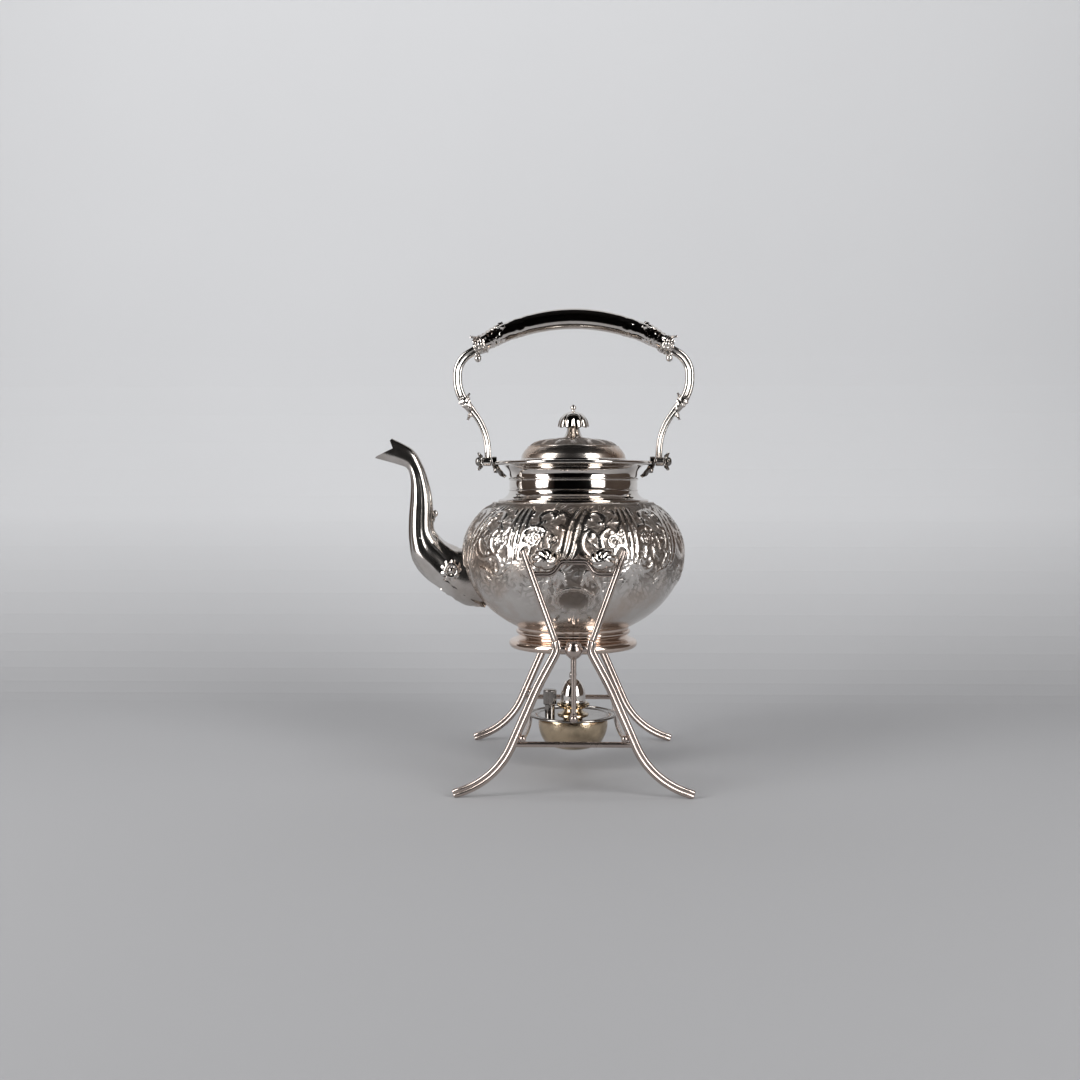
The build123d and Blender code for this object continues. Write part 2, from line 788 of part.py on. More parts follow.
def dome_section(radius, height):
    """Half section of the bun-shaped dome, over the lid's bezel."""
    with BuildSketch(Plane.XZ) as section:
        with BuildLine():
            crown = Spline(
                *[(radius * across, dome_z + height * up) for across, up in dome_outline],
                tangents=((0, 1), (-1, 0)),
            )
            Polyline(crown @ 1, (0, dome_z), crown @ 0)
        make_face()
    return section.sketch


with BuildPart() as lid_dome:
    revolve(dome_section(dome_radius, dome_height), axis=Axis.Z)
    hollow = dome_section(dome_radius - dome_wall, dome_height - dome_wall)
    revolve(hollow, axis=Axis.Z, mode=Mode.SUBTRACT)
    with BuildSketch(Plane.XY.offset(dome_z)):
        with Locations((0, vent_y)):
            Circle(vent_radius)
    extrude(amount=2 * dome_height, mode=Mode.SUBTRACT)
write(lid_dome, "lid_dome")

with BuildPart() as lid_bezel:
    with BuildSketch(Plane.XY.offset(bezel_z)):
        Circle(bezel_radius)
        Circle(lid_skirt_radius - lid_skirt_wall, mode=Mode.SUBTRACT)
    extrude(amount=bezel_thickness)
    chamfer(lid_bezel.edges().group_by(Axis.Z)[-1].sort_by(SortBy.LENGTH)[-1], 0.5)
    with BuildSketch(Plane.XY.offset(bezel_z - lid_skirt_depth)):
        Circle(lid_skirt_radius)
        Circle(lid_skirt_radius - lid_skirt_wall, mode=Mode.SUBTRACT)
    extrude(amount=lid_skirt_depth)
write(lid_bezel, "lid_bezel")

knuckle_gap = side_clearance
with BuildPart() as hinge_leaf_lid:
    with BuildSketch(Plane.YZ.offset(-lid_knuckle_half)):
        with Locations((hinge_y, hinge_z)):
            Circle(hinge_barrel_radius)
        with Locations((hinge_y - 3.6, dome_z + hinge_leaf_thickness / 2)):
            Rectangle(7.2, hinge_leaf_thickness)
        with Locations((hinge_y, hinge_z)):
            Circle(hinge_pin_radius + pin_clearance, mode=Mode.SUBTRACT)
    extrude(amount=2 * lid_knuckle_half)
    revolve(dome_section(dome_radius, dome_height), axis=Axis.Z, mode=Mode.SUBTRACT)
write(hinge_leaf_lid, "hinge_leaf_lid")

with BuildPart() as hinge_leaf_neck:
    with BuildSketch(Plane.YZ.offset(-neck_knuckle_end)):
        with Locations((hinge_y, hinge_z)):
            Circle(hinge_barrel_radius)
        with BuildLine():
            Polyline(
                (hinge_y, hinge_z),
                (hinge_y, mouth_top_z),
                (hinge_y + hinge_leaf_length, mouth_top_z),
                (hinge_y + hinge_leaf_length, mouth_top_z + hinge_leaf_thickness),
                (hinge_y + hinge_barrel_radius, mouth_top_z + hinge_leaf_thickness),
                (hinge_y + hinge_barrel_radius, hinge_z),
                close=True,
            )
        make_face()
        with Locations((hinge_y, hinge_z)):
            Circle(hinge_pin_radius, mode=Mode.SUBTRACT)
    extrude(amount=2 * neck_knuckle_end)
    # room for the lid's knuckle as it turns
    with BuildSketch(Plane.YZ.offset(-lid_knuckle_half - knuckle_gap)):
        with Locations((hinge_y, hinge_z)):
            Rectangle(2 * (hinge_barrel_radius + 1.4), 2 * (hinge_barrel_radius + 1.4))
    extrude(amount=2 * (lid_knuckle_half + knuckle_gap), mode=Mode.SUBTRACT)
write(hinge_leaf_neck, "hinge_leaf_neck")

with BuildPart() as hinge_pin:
    with BuildSketch(Plane.YZ.offset(-neck_knuckle_end)):
        with Locations((hinge_y, hinge_z)):
            Circle(hinge_pin_radius)
    extrude(amount=2 * neck_knuckle_end)
write(hinge_pin, "hinge_pin")

# ---------------------------------------------------------------- finial
stem_base_z = dome_top_z - 1.0
cap_z = stem_base_z + stem_height - 2.6
cap_top_z = cap_z + cap_height
with BuildPart() as finial_cap:
    with BuildSketch(Plane.XZ):
        with BuildLine():
            Line((0, cap_z + 2.6), (stem_top_radius, cap_z + 2.6))
            ThreePointArc(
                (stem_top_radius, cap_z + 2.6),
                (cap_radius * 0.62, cap_z + 3.6),
                (cap_radius - cap_wall, cap_z),
            )
            Line((cap_radius - cap_wall, cap_z), (cap_radius, cap_z))
            ThreePointArc(
                (cap_radius, cap_z),
                (cap_radius * 0.78, cap_z + cap_height * 0.62),
                (button_radius * 0.6, cap_top_z),
            )
            Line((button_radius * 0.6, cap_top_z), (0, cap_top_z))
            Line((0, cap_top_z), (0, cap_z + 2.6))
        make_face()
    revolve(axis=Axis.Z)
    # scalloped edge
    with BuildSketch(Plane.XY.offset(cap_z)):
        with PolarLocations(cap_radius + 0.9, cap_lobes):
            Circle(1.8)
    extrude(amount=cap_height * 0.5, mode=Mode.SUBTRACT)
write(finial_cap, "finial_cap")

with BuildPart() as finial_stem:
    with BuildSketch(Plane.XZ):
        with BuildLine():
            Line((0, stem_base_z - 1.0), (stem_base_radius, stem_base_z - 1.0))
            ThreePointArc(
                (stem_base_radius, stem_base_z - 1.0),
                (stem_base_radius * 0.78, stem_base_z + stem_height * 0.3),
                (stem_top_radius, stem_base_z + stem_height),
            )
            Polyline(
                (stem_top_radius, stem_base_z + stem_height),
                (0, stem_base_z + stem_height),
                (0, stem_base_z - 1.0),
            )
        make_face()
    revolve(axis=Axis.Z)
    revolve(dome_section(dome_radius, dome_height), axis=Axis.Z, mode=Mode.SUBTRACT)
    add(finial_cap.part, mode=Mode.SUBTRACT)
write(finial_stem, "finial_stem")

with BuildPart() as finial_button:
    with Locations((0, 0, cap_top_z + button_radius * 1.25)):
        Sphere(button_radius)
    with BuildSketch(Plane.XY.offset(cap_top_z)):
        Circle(button_radius * 0.6)
    extrude(amount=button_radius)
write(finial_button, "finial_button")

with BuildPart() as finial_nut:
    with BuildSketch(Plane.XY.offset(dome_top_z - dome_wall - nut_thickness)):
        RegularPolygon(nut_radius, 6)
    extrude(amount=nut_thickness + dome_wall)
    lid_inside = dome_height - dome_wall
    with BuildSketch(Plane.XZ):
        with BuildLine():
            crown = Spline(
                *[
                    ((dome_radius - dome_wall) * across, dome_z + lid_inside * up)
                    for across, up in dome_outline
                ],
                tangents=((0, 1), (-1, 0)),
            )
            Polyline(
                crown @ 1,
                (0, dome_top_z + 5.0),
                (dome_radius, dome_top_z + 5.0),
                (dome_radius, dome_z),
                crown @ 0,
            )
        make_face()
    revolve(axis=Axis.Z, mode=Mode.SUBTRACT)
write(finial_nut, "finial_nut")

# ---------------------------------------------------------------- bail handle
grip_centre_z = pivot_z + grip_crown_rise - grip_arc_radius
grip_half_angle = math.degrees(math.asin(grip_half_span / grip_arc_radius))
grip_end = (grip_half_span, grip_centre_z + math.sqrt(grip_arc_radius**2 - grip_half_span**2))
grip_out = (
    math.cos(math.radians(grip_half_angle)),
    -math.sin(math.radians(grip_half_angle)),
)

with BuildPart() as grip:
    for share in (-1.0, -0.6, 0.0, 0.6, 1.0):
        angle = math.radians(grip_half_angle * share)
        middle = (grip_arc_radius * math.sin(angle), grip_centre_z + grip_arc_radius * math.cos(angle))
        with BuildSketch(bar_plane(middle, (math.cos(angle), -math.sin(angle)))):
            Circle(grip_middle_radius - (grip_middle_radius - grip_end_radius) * share**2)
    loft()
    with BuildLine(Plane.XZ):
        ThreePointArc(
            (-grip_end[0], grip_end[1]),
            (0, grip_centre_z + grip_arc_radius),
            (grip_end[0], grip_end[1]),
        )
    with BuildSketch(bar_plane((-grip_end[0], grip_end[1]), (grip_out[0], -grip_out[1]))):
        Circle(grip_bore_radius)
    sweep(mode=Mode.SUBTRACT)
write(grip, "grip")

arm_side_x = grip_end[0] + arm_side_out
arm_low_point = (arm_side_x, grip_end[1] - arm_low_drop)
arm_knee_point = (eye_inner_x + arm_knee_out, pivot_z + arm_knee_rise)
arm_points = [
    (grip_end[0] + arm_top_out, grip_end[1] - arm_top_drop),
    (arm_side_x, grip_end[1] - arm_high_drop),
    arm_low_point,
    arm_knee_point,
    (eye_inner_x + arm_foot_out, pivot_z + eye_radius * 0.6),
]
arm_bends = [
    bend_radius(arm_points[corner - 1 : corner + 2], run)
    for corner, run in ((1, arm_high_run), (2, arm_low_run), (3, arm_knee_run))
]
# the slimmer bar starts half way down the slope between the low bend and the knee
arm_slope = unit(arm_low_point, arm_knee_point)
arm_change = (
    arm_low_point[0] + arm_slope[0] * 15.0,
    arm_low_point[1] + arm_slope[1] * 15.0,
)

for side_name, side in sides:
    with BuildPart() as collar:
        collar_plane = Plane(
            origin=(side * grip_end[0], 0, grip_end[1]),
            x_dir=(side * grip_out[0], 0, grip_out[1]),
            z_dir=(0, -1, 0),
        )
        with BuildSketch(collar_plane):
            with BuildLine():
                Polyline(
                    (-collar_spigot_length, 0),
                    (-collar_spigot_length, grip_bore_radius - spigot_clearance),
                    (0, grip_bore_radius - spigot_clearance),
                    (0, grip_end_radius + 0.4),
                )
                ThreePointArc(
                    (0, grip_end_radius + 0.4),
                    (collar_length * 0.28, collar_bead_radius),
                    (collar_length * 0.56, grip_end_radius),
                )
                Polyline(
                    (collar_length * 0.56, grip_end_radius),
                    (collar_length, arm_reed_pitch / 2 + arm_reed_radius + 0.8),
                    (collar_length, 0),
                    (-collar_spigot_length, 0),
                )
            make_face()
        revolve(axis=Axis((side * grip_end[0], 0, grip_end[1]), (side * grip_out[0], 0, grip_out[1])))
        bud = (grip_end[0] + 5.2, grip_end[1] - 12.6)
        with Locations((side * bud[0], 0, bud[1])):
            Sphere(collar_bud_radius)
        with BuildSketch(Plane.XY.offset(bud[1])):
            with Locations((side * bud[0], 0)):
                Circle(collar_bud_radius * 0.6)
        extrude(amount=8.0)
    write(collar, f"collar_{side_name}")

    with BuildPart() as handle_arm:
        upper_path = mirrored(arm_points[:3] + [arm_change], side)
        with BuildLine(Plane.XZ):
            FilletPolyline(*upper_path, radius=arm_bends[:2])
        with BuildSketch(bar_plane(upper_path[0], unit(upper_path[0], upper_path[1]))):
            reed_section(arm_reed_radius, arm_reed_pitch)
        sweep()
        lower_path = mirrored([arm_change] + arm_points[3:], side)
        with BuildLine(Plane.XZ):
            FilletPolyline(*lower_path, radius=arm_bends[2])
        with BuildSketch(bar_plane(lower_path[0], unit(lower_path[0], lower_path[1]))):
            reed_section(arm_low_reed_radius, arm_low_reed_pitch)
        sweep()
        # leaf buds on both edges where the bar grows slim
        square = (-arm_slope[1], arm_slope[0])
        for along, across in ((-5.0, -5.0), (6.0, 5.0)):
            with Locations(
                (
                    side * (arm_change[0] + arm_slope[0] * along + square[0] * across),
                    0,
                    arm_change[1] + arm_slope[1] * along + square[1] * across,
                )
            ):
                Sphere(arm_bud_radius)
        # eye on the pivot
        with BuildSketch(Plane.YZ.offset(side * eye_inner_x)):
            with Locations((0, pivot_z)):
                Circle(eye_radius)
        extrude(amount=side * (eye_outer_x - eye_inner_x))
        with BuildSketch(Plane.YZ.offset(side * (eye_inner_x - 5.0))):
            with Locations((0, pivot_z)):
                Circle(pivot_pin_radius + pin_clearance)
        extrude(amount=side * (eye_outer_x - eye_inner_x + 10.0), mode=Mode.SUBTRACT)
        add(collar.part, mode=Mode.SUBTRACT)
    write(handle_arm, f"handle_arm_{side_name}")

# ---------------------------------------------------------------- burner
bowl_foot_z = flange_z - bowl_height + bowl_dish
bowl_bottom_z = flange_z - bowl_height


def bowl_section(wall):
    """Half section of the burner bowl, smaller by the wall, up to the flange."""
    with BuildSketch(Plane.XZ) as section:
        with BuildLine():
            ThreePointArc(
                (0, bowl_bottom_z + wall),
                (bowl_foot_radius * 0.62, bowl_bottom_z + bowl_dish * 0.3 + wall),
                (bowl_foot_radius - wall, bowl_foot_z + wall * 0.6),
            )
            ThreePointArc(
                (bowl_foot_radius - wall, bowl_foot_z + wall * 0.6),
                (bowl_radius - 0.9 - wall, (bowl_foot_z + flange_z) / 2),
                (bowl_radius - wall, flange_z),
            )
            Polyline((bowl_radius - wall, flange_z), (0, flange_z), (0, bowl_bottom_z + wall))
        make_face()
    return section.sketch


with BuildPart() as burner_bowl:
    revolve(bowl_section(0), axis=Axis.Z)
    revolve(bowl_section(bowl_wall), axis=Axis.Z, mode=Mode.SUBTRACT)
write(burner_bowl, "burner_bowl")

with BuildPart() as burner_plate:
    with BuildSketch(Plane.XY.offset(flange_z)):
        Circle(flange_radius)
        Circle(wick_tube_radius - filler_wall, mode=Mode.SUBTRACT)
        with Locations((filler_x, 0)):
            Circle(filler_neck_radius - filler_wall, mode=Mode.SUBTRACT)
    extrude(amount=flange_thickness)
    # rolled edge of the flange
    with BuildSketch(Plane.XZ):
        with Locations((flange_radius - 0.9, flange_top_z)):
            Circle(0.9)
    revolve(axis=Axis.Z)
    with BuildSketch(Plane.XY.offset(flange_z)):
        Circle(flange_radius * 2)
    extrude(amount=-2.0, mode=Mode.SUBTRACT)
write(burner_plate, "burner_plate")

with BuildPart() as wick_gallery:
    tube_top_z = flange_top_z + wick_tube_rise
    tube_bore = wick_tube_radius - filler_wall
    with BuildSketch(Plane.XZ):
        with BuildLine():
            Line((tube_bore, flange_top_z), (gallery_base_radius, flange_top_z))
            ThreePointArc(
                (gallery_base_radius, flange_top_z),
                (gallery_waist_radius + 1.6, flange_top_z + 2.6),
                (gallery_waist_radius, flange_top_z + gallery_rise * 0.5),
            )
            ThreePointArc(
                (gallery_waist_radius, flange_top_z + gallery_rise * 0.5),
                (gallery_waist_radius + 1.2, gallery_z - 3.0),
                (gallery_radius, gallery_z - 1.4),
            )
            Polyline(
                (gallery_radius, gallery_z - 1.4),
                (gallery_radius, gallery_z),
                (wick_tube_radius, gallery_z),
                (wick_tube_radius, tube_top_z),
                (tube_bore, tube_top_z),
                (tube_bore, flange_top_z),
            )
        make_face()
    revolve(axis=Axis.Z)
write(wick_gallery, "wick_gallery")

with BuildPart() as wick:
    with BuildSketch(Plane.XY.offset(tube_top_z + wick_stand_out - wick_length)):
        Circle(wick_radius)
    extrude(amount=wick_length)
write(wick, "wick")

with BuildPart() as filler_neck:
    with BuildSketch(Plane.XY.offset(flange_top_z)):
        with Locations((filler_x, 0)):
            Circle(filler_neck_radius)
            Circle(filler_neck_radius - filler_wall, mode=Mode.SUBTRACT)
    extrude(amount=filler_neck_rise)
write(filler_neck, "filler_neck")

cap_bore = filler_neck_radius + cap_clearance
washer_z = flange_top_z + filler_neck_rise + seat_clearance
cap_ceiling_z = washer_z + washer_thickness
with BuildPart() as filler_cap:
    with BuildSketch(Plane.XY.offset(flange_top_z + filler_cap_bottom)):
        with Locations((filler_x, 0)):
            Circle(filler_cap_radius)
            with PolarLocations(filler_cap_radius, filler_ribs):
                Circle(filler_cap_radius * 0.07)
    extrude(amount=cap_ceiling_z + filler_cap_top - flange_top_z - filler_cap_bottom)
    with BuildSketch(Plane.XY.offset(flange_top_z)):
        with Locations((filler_x, 0)):
            Circle(cap_bore)
    extrude(amount=cap_ceiling_z - flange_top_z, mode=Mode.SUBTRACT)
write(filler_cap, "filler_cap")

with BuildPart() as filler_washer:
    with BuildSketch(Plane.XY.offset(washer_z)):
        with Locations((filler_x, 0)):
            Circle(cap_bore)
    extrude(amount=washer_thickness)
write(filler_washer, "filler_washer")

snuffer_z = gallery_z + seat_clearance


def snuffer_section(wall):
    """Half section of the bell-shaped snuffer, smaller by the wall."""
    with BuildSketch(Plane.XZ) as section:
        with BuildLine():
            Line((0, snuffer_z), (snuffer_radius - wall, snuffer_z))
            Spline(
                (snuffer_radius - wall, snuffer_z),
                (snuffer_radius * 0.96 - wall, snuffer_z + snuffer_height * 0.42),
                (snuffer_radius * 0.74 - wall, snuffer_z + snuffer_height * 0.76),
                (0, snuffer_z + snuffer_height - wall),
                tangents=((0, 1), (-1, 0)),
            )
            Line((0, snuffer_z + snuffer_height - wall), (0, snuffer_z))
        make_face()
    return section.sketch


with BuildPart() as snuffer_dome:
    revolve(snuffer_section(0), axis=Axis.Z)
    revolve(snuffer_section(snuffer_wall), axis=Axis.Z, mode=Mode.SUBTRACT)
write(snuffer_dome, "snuffer_dome")

with BuildPart() as snuffer_knob:
    knob_z = snuffer_z + snuffer_height + knob_radius * 0.9
    with Locations((0, 0, knob_z)):
        Sphere(knob_radius)
    with BuildSketch(Plane.XY.offset(snuffer_z + snuffer_height - 1.5)):
        Circle(knob_radius * 0.55)
    extrude(amount=knob_radius)
    revolve(snuffer_section(0), axis=Axis.Z, mode=Mode.SUBTRACT)
write(snuffer_knob, "snuffer_knob")
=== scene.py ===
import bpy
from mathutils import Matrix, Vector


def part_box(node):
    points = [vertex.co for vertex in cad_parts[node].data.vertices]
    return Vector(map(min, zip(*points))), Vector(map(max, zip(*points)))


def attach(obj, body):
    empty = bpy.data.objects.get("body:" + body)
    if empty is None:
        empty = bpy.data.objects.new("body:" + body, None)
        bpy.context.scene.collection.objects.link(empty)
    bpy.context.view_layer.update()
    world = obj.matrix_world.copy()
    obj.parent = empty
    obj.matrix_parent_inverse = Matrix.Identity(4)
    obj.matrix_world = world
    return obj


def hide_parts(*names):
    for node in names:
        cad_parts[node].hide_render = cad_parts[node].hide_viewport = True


bl_info = {
    "name": "Spirit Kettle on Stand",
    "version": (1, 0, 0),
    "blender": (4, 5, 0),
    "location": "View3D > Sidebar > Kettle",
    "description": "Silver-plated spirit kettle with chased body, reeded stand and lift-out burner",
    "category": "Add Mesh",
}

import math

import bmesh
import bpy
import numpy as np
from bpy.props import FloatProperty, FloatVectorProperty, IntProperty, PointerProperty
from mathutils import Matrix, Vector

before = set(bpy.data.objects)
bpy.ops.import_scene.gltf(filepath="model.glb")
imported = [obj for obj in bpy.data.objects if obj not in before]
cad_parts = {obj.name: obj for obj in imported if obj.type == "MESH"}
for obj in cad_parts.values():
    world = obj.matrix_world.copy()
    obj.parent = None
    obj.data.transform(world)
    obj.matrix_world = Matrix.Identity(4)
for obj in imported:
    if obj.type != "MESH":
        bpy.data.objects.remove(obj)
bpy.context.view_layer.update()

MM = 0.001
SIDES = (("left", -1), ("right", 1))
FRAMES = (("front", -1), ("rear", 1))


# ------------------------------------------------------------------ sizes and colours
class KettleSizes(bpy.types.PropertyGroup):
    """Sizes of the kettle that a user would change."""

    belly_radius: FloatProperty(
        name="Belly radius", description="Body at its widest level", default=0.0918, unit="LENGTH"
    )
    belly_level: FloatProperty(
        name="Belly level", description="Height of the widest level", default=0.181, unit="LENGTH"
    )
    chase_depth: FloatProperty(
        name="Chasing depth", description="Height of the raised ornament", default=0.0011, unit="LENGTH"
    )
    chase_repeats: IntProperty(
        name="Chasing repeats", description="Pairs of swirl and flute panels round the body", default=6
    )
    frame_spacing: FloatProperty(
        name="Frame spacing", description="Front frame to rear frame", default=0.206, unit="LENGTH"
    )
    leg_reed: FloatProperty(
        name="Leg reed", description="Radius of a leg's reed", default=0.002, unit="LENGTH"
    )
    spout_panels: IntProperty(
        name="Spout panels", description="Fluted panels round the spout", default=6
    )
    cap_lobes: IntProperty(
        name="Cap lobes", description="Scalloped lobes of the finial cap", default=10
    )


class KettleFinish(bpy.types.PropertyGroup):
    """Colours and finishes of the kettle and its stage."""

    silver: FloatVectorProperty(
        name="Silver", description="Clean silver plate", default=(0.76, 0.725, 0.69), subtype="COLOR"
    )
    tarnish: FloatVectorProperty(
        name="Tarnish", description="Warm tarnish on the plate", default=(0.50, 0.405, 0.34), subtype="COLOR"
    )
    recess: FloatVectorProperty(
        name="Recess", description="Dark oxide in the chasing", default=(0.15, 0.12, 0.10), subtype="COLOR"
    )
    burner: FloatVectorProperty(
        name="Burner", description="Plate worn warm on the burner", default=(0.66, 0.53, 0.37), subtype="COLOR"
    )
    stand: FloatVectorProperty(
        name="Stand plate", description="Warm worn plate of the stand", default=(0.56, 0.475, 0.43), subtype="COLOR"
    )
    # Foot tint: a painted reflection of the warm-toned room at the sides, not plate worn thin.
    warm: FloatVectorProperty(
        name="Foot plate with painted warm reflection", description="Foot, where the plate is worn thin", default=(0.80, 0.66, 0.57), subtype="COLOR"
    )
    wick: FloatVectorProperty(
        name="Wick", description="Cotton of the wick", default=(0.80, 0.76, 0.68), subtype="COLOR"
    )
    leather: FloatVectorProperty(
        name="Leather", description="Washer in the filler cap", default=(0.30, 0.18, 0.10), subtype="COLOR"
    )
    # Floor and backdrop are one cloth: the lighter backdrop colour is painted light on the same cloth.
    floor: FloatVectorProperty(
        name="Floor", description="Table top", default=(0.448, 0.45, 0.462), subtype="COLOR"
    )
    wall: FloatVectorProperty(
        name="Backdrop", description="Wall behind the object", default=(0.645, 0.652, 0.668), subtype="COLOR"
    )
    roughness: FloatProperty(
        name="Polish", description="Roughness of the polished plate", default=0.045, subtype="FACTOR"
    )


def sizes():
    return bpy.context.scene.kettle_sizes


def finish_of():
    return bpy.context.scene.kettle_finish


# ------------------------------------------------------------------ modelling helpers
def deselect():
    for obj in list(bpy.context.selected_objects):
        obj.select_set(False)


def activate(obj):
    deselect()
    obj.select_set(True)
    bpy.context.view_layer.objects.active = obj


def arc(middle, end, steps=10):
    """Marks the next stretch of an outline as an arc through two points."""
    return ("arc", middle, end, steps)


def outline(*items):
    """Points in millimetres of an outline made of corners and arcs."""
    points = []
    for item in items:
        if item[0] != "arc":
            points.append((float(item[0]), float(item[1])))
            continue
        (bx, by), (cx, cy), steps = item[1], item[2], item[3]
        ax, ay = points[-1]
        det = 2 * (ax * (by - cy) + bx * (cy - ay) + cx * (ay - by))
        if abs(det) < 1e-9:
            points.append((cx, cy))
            continue
        ux = (
            (ax * ax + ay * ay) * (by - cy) + (bx * bx + by * by) * (cy - ay) + (cx * cx + cy * cy) * (ay - by)
        ) / det
        uy = (
            (ax * ax + ay * ay) * (cx - bx) + (bx * bx + by * by) * (ax - cx) + (cx * cx + cy * cy) * (bx - ax)
        ) / det
        radius = math.hypot(ax - ux, ay - uy)
        start = math.atan2(ay - uy, ax - ux)
        middle = math.atan2(by - uy, bx - ux)
        stop = math.atan2(cy - uy, cx - ux)
        turn = (stop - start) % (2 * math.pi)
        if (middle - start) % (2 * math.pi) > turn:
            turn -= 2 * math.pi
        for step in range(1, steps + 1):
            angle = start + turn * step / steps
            points.append((ux + radius * math.cos(angle), uy + radius * math.sin(angle)))
    return points


def lathe(points, steps=128, closed=False):
    """Turned solid: one vertex drawn out along the outline and spun about Z."""
    deselect()
    bpy.ops.mesh.primitive_plane_add(size=0.001, location=(0, 0, 0))
    obj = bpy.context.object
    bpy.ops.object.mode_set(mode="EDIT")
    bpy.ops.mesh.select_all(action="SELECT")
    bpy.ops.mesh.merge(type="CENTER")
    here = (points[0][0] * MM, points[0][1] * MM)
    bpy.ops.transform.translate(value=(here[0], 0, here[1]))
    for x, z in points[1:]:
        there = (x * MM, z * MM)
        bpy.ops.mesh.extrude_vertices_move(
            TRANSFORM_OT_translate={"value": (there[0] - here[0], 0, there[1] - here[1])}
        )
        here = there
    if closed:
        bpy.ops.mesh.select_all(action="SELECT")
        bpy.ops.mesh.remove_doubles(threshold=1e-7)
    bpy.ops.mesh.select_all(action="SELECT")
    bpy.ops.mesh.spin(steps=steps, angle=2 * math.pi, center=(0, 0, 0), axis=(0, 0, 1))
    bpy.ops.mesh.select_all(action="SELECT")
    bpy.ops.mesh.remove_doubles(threshold=2e-6)
    bpy.ops.mesh.normals_make_consistent(inside=False)
    bpy.ops.object.mode_set(mode="OBJECT")
    return obj


def mesh_object(name, vertices, faces):
    """New object from vertices in millimetres, with its faces turned outwards."""
    mesh = bpy.data.meshes.new(name)
    mesh.from_pydata([tuple(c * MM for c in vertex) for vertex in vertices], [], faces)
    obj = bpy.data.objects.new(name, mesh)
    bpy.context.collection.objects.link(obj)
    outwards(obj)
    return obj


def outwards(obj):
    activate(obj)
    bpy.ops.object.mode_set(mode="EDIT")
    bpy.ops.mesh.select_all(action="SELECT")
    bpy.ops.mesh.remove_doubles(threshold=2e-6)
    bpy.ops.mesh.normals_make_consistent(inside=False)
    bpy.ops.object.mode_set(mode="OBJECT")


def rounded_path(points, radii, step=2.0):
    """Points (x, z) along a line whose corners are rounded by the radii."""
    path = [Vector(points[0])]
    for index, radius in enumerate(radii):
        corner = Vector(points[index + 1])
        into = (corner - Vector(points[index])).normalized()
        out = (Vector(points[index + 2]) - corner).normalized()
        turn = into.angle(out)
        reach = radius * math.tan(turn / 2)
        start = corner - into * reach
        end = corner + out * reach
        side = 1 if into.x * out.y - into.y * out.x > 0 else -1
        centre = start + Vector((-into.y, into.x)) * radius * side
        steps = max(4, int(radius * turn / step))
        spoke = start - centre
        for index_on in range(steps + 1):
            angle = turn * side * index_on / steps
            cos, sin = math.cos(angle), math.sin(angle)
            path.append(centre + Vector((spoke.x * cos - spoke.y * sin, spoke.x * sin + spoke.y * cos)))
        path[-1] = end
    path.append(Vector(points[-1]))
    dense = [path[0]]
    for point in path[1:]:
        gap = (point - dense[-1]).length
        if gap < 0.05:
            continue
        parts = max(1, int(gap / (3 * step)))
        start = dense[-1].copy()
        for part in range(1, parts + 1):
            dense.append(start.lerp(point, part / parts))
    return dense


def reeds(radius, pitch, steps=9):
    """Section of two touching reeds, as (across, along the pitch)."""
    notch = math.asin(pitch / 2 / radius)
    half = []
    for step in range(steps + 1):
        angle = -notch + (math.pi + 2 * notch) * step / steps
        half.append((radius * math.cos(angle), pitch / 2 + radius * math.sin(angle)))
    return half[:-1] + [(-a, -b) for a, b in half[:-1]]


def round_section(radius, steps=16):
    return [
        (radius * math.cos(2 * math.pi * k / steps), radius * math.sin(2 * math.pi * k / steps))
        for k in range(steps)
    ]


def sweep(name, path, section, across=(0, 1, 0), scale=None, round_ends=True):
    """Bar of one section along a path in millimetres, with softly rounded ends."""
    path = [Vector(point) for point in path]
    across = Vector(across).normalized()
    rings = []
    count = len(path)
    for index, point in enumerate(path):
        ahead = path[min(index + 1, count - 1)] - path[max(index - 1, 0)]
        tangent = ahead.normalized()
        normal = tangent.cross(across).normalized()
        sideways = normal.cross(tangent).normalized()
        size = scale[index] if scale else 1.0
        rings.append((point, sideways, normal, size, tangent))
    if round_ends:
        first, last = rings[0], rings[-1]
        reach = 0.55 * max(math.hypot(a, b) for a, b in section) * 0.5
        start = [
            (first[0], first[1], first[2], first[3] * 0.62, first[4]),
            (first[0] + first[4] * reach * 0.35, first[1], first[2], first[3] * 0.90, first[4]),
            (first[0] + first[4] * reach, *first[1:]),
        ]
        stop = [
            (last[0] - last[4] * reach, *last[1:]),
            (last[0] - last[4] * reach * 0.35, last[1], last[2], last[3] * 0.90, last[4]),
            (last[0], last[1], last[2], last[3] * 0.62, last[4]),
        ]
        rings = start + rings[1:-1] + stop
    vertices = []
    for point, sideways, normal, size, tangent in rings:
        vertices += [point + sideways * (a * size) + normal * (b * size) for a, b in section]
    n = len(section)
    faces = []
    for ring in range(len(rings) - 1):
        for k in range(n):
            j = (k + 1) % n
            faces.append((ring * n + k, ring * n + j, (ring + 1) * n + j, (ring + 1) * n + k))
    faces.append(tuple(range(n)))
    faces.append(tuple((len(rings) - 1) * n + k for k in range(n)))
    return mesh_object(name, vertices, faces)


def ball(radius, place, scale=(1, 1, 1), segments=32, rings=20):
    """Round bead, sized and placed in millimetres."""
    deselect()
    bpy.ops.mesh.primitive_uv_sphere_add(
        segments=segments, ring_count=rings, radius=radius * MM, location=[c * MM for c in place], scale=scale
    )
    bpy.ops.object.transform_apply(location=True, rotation=True, scale=True)
    return bpy.context.object


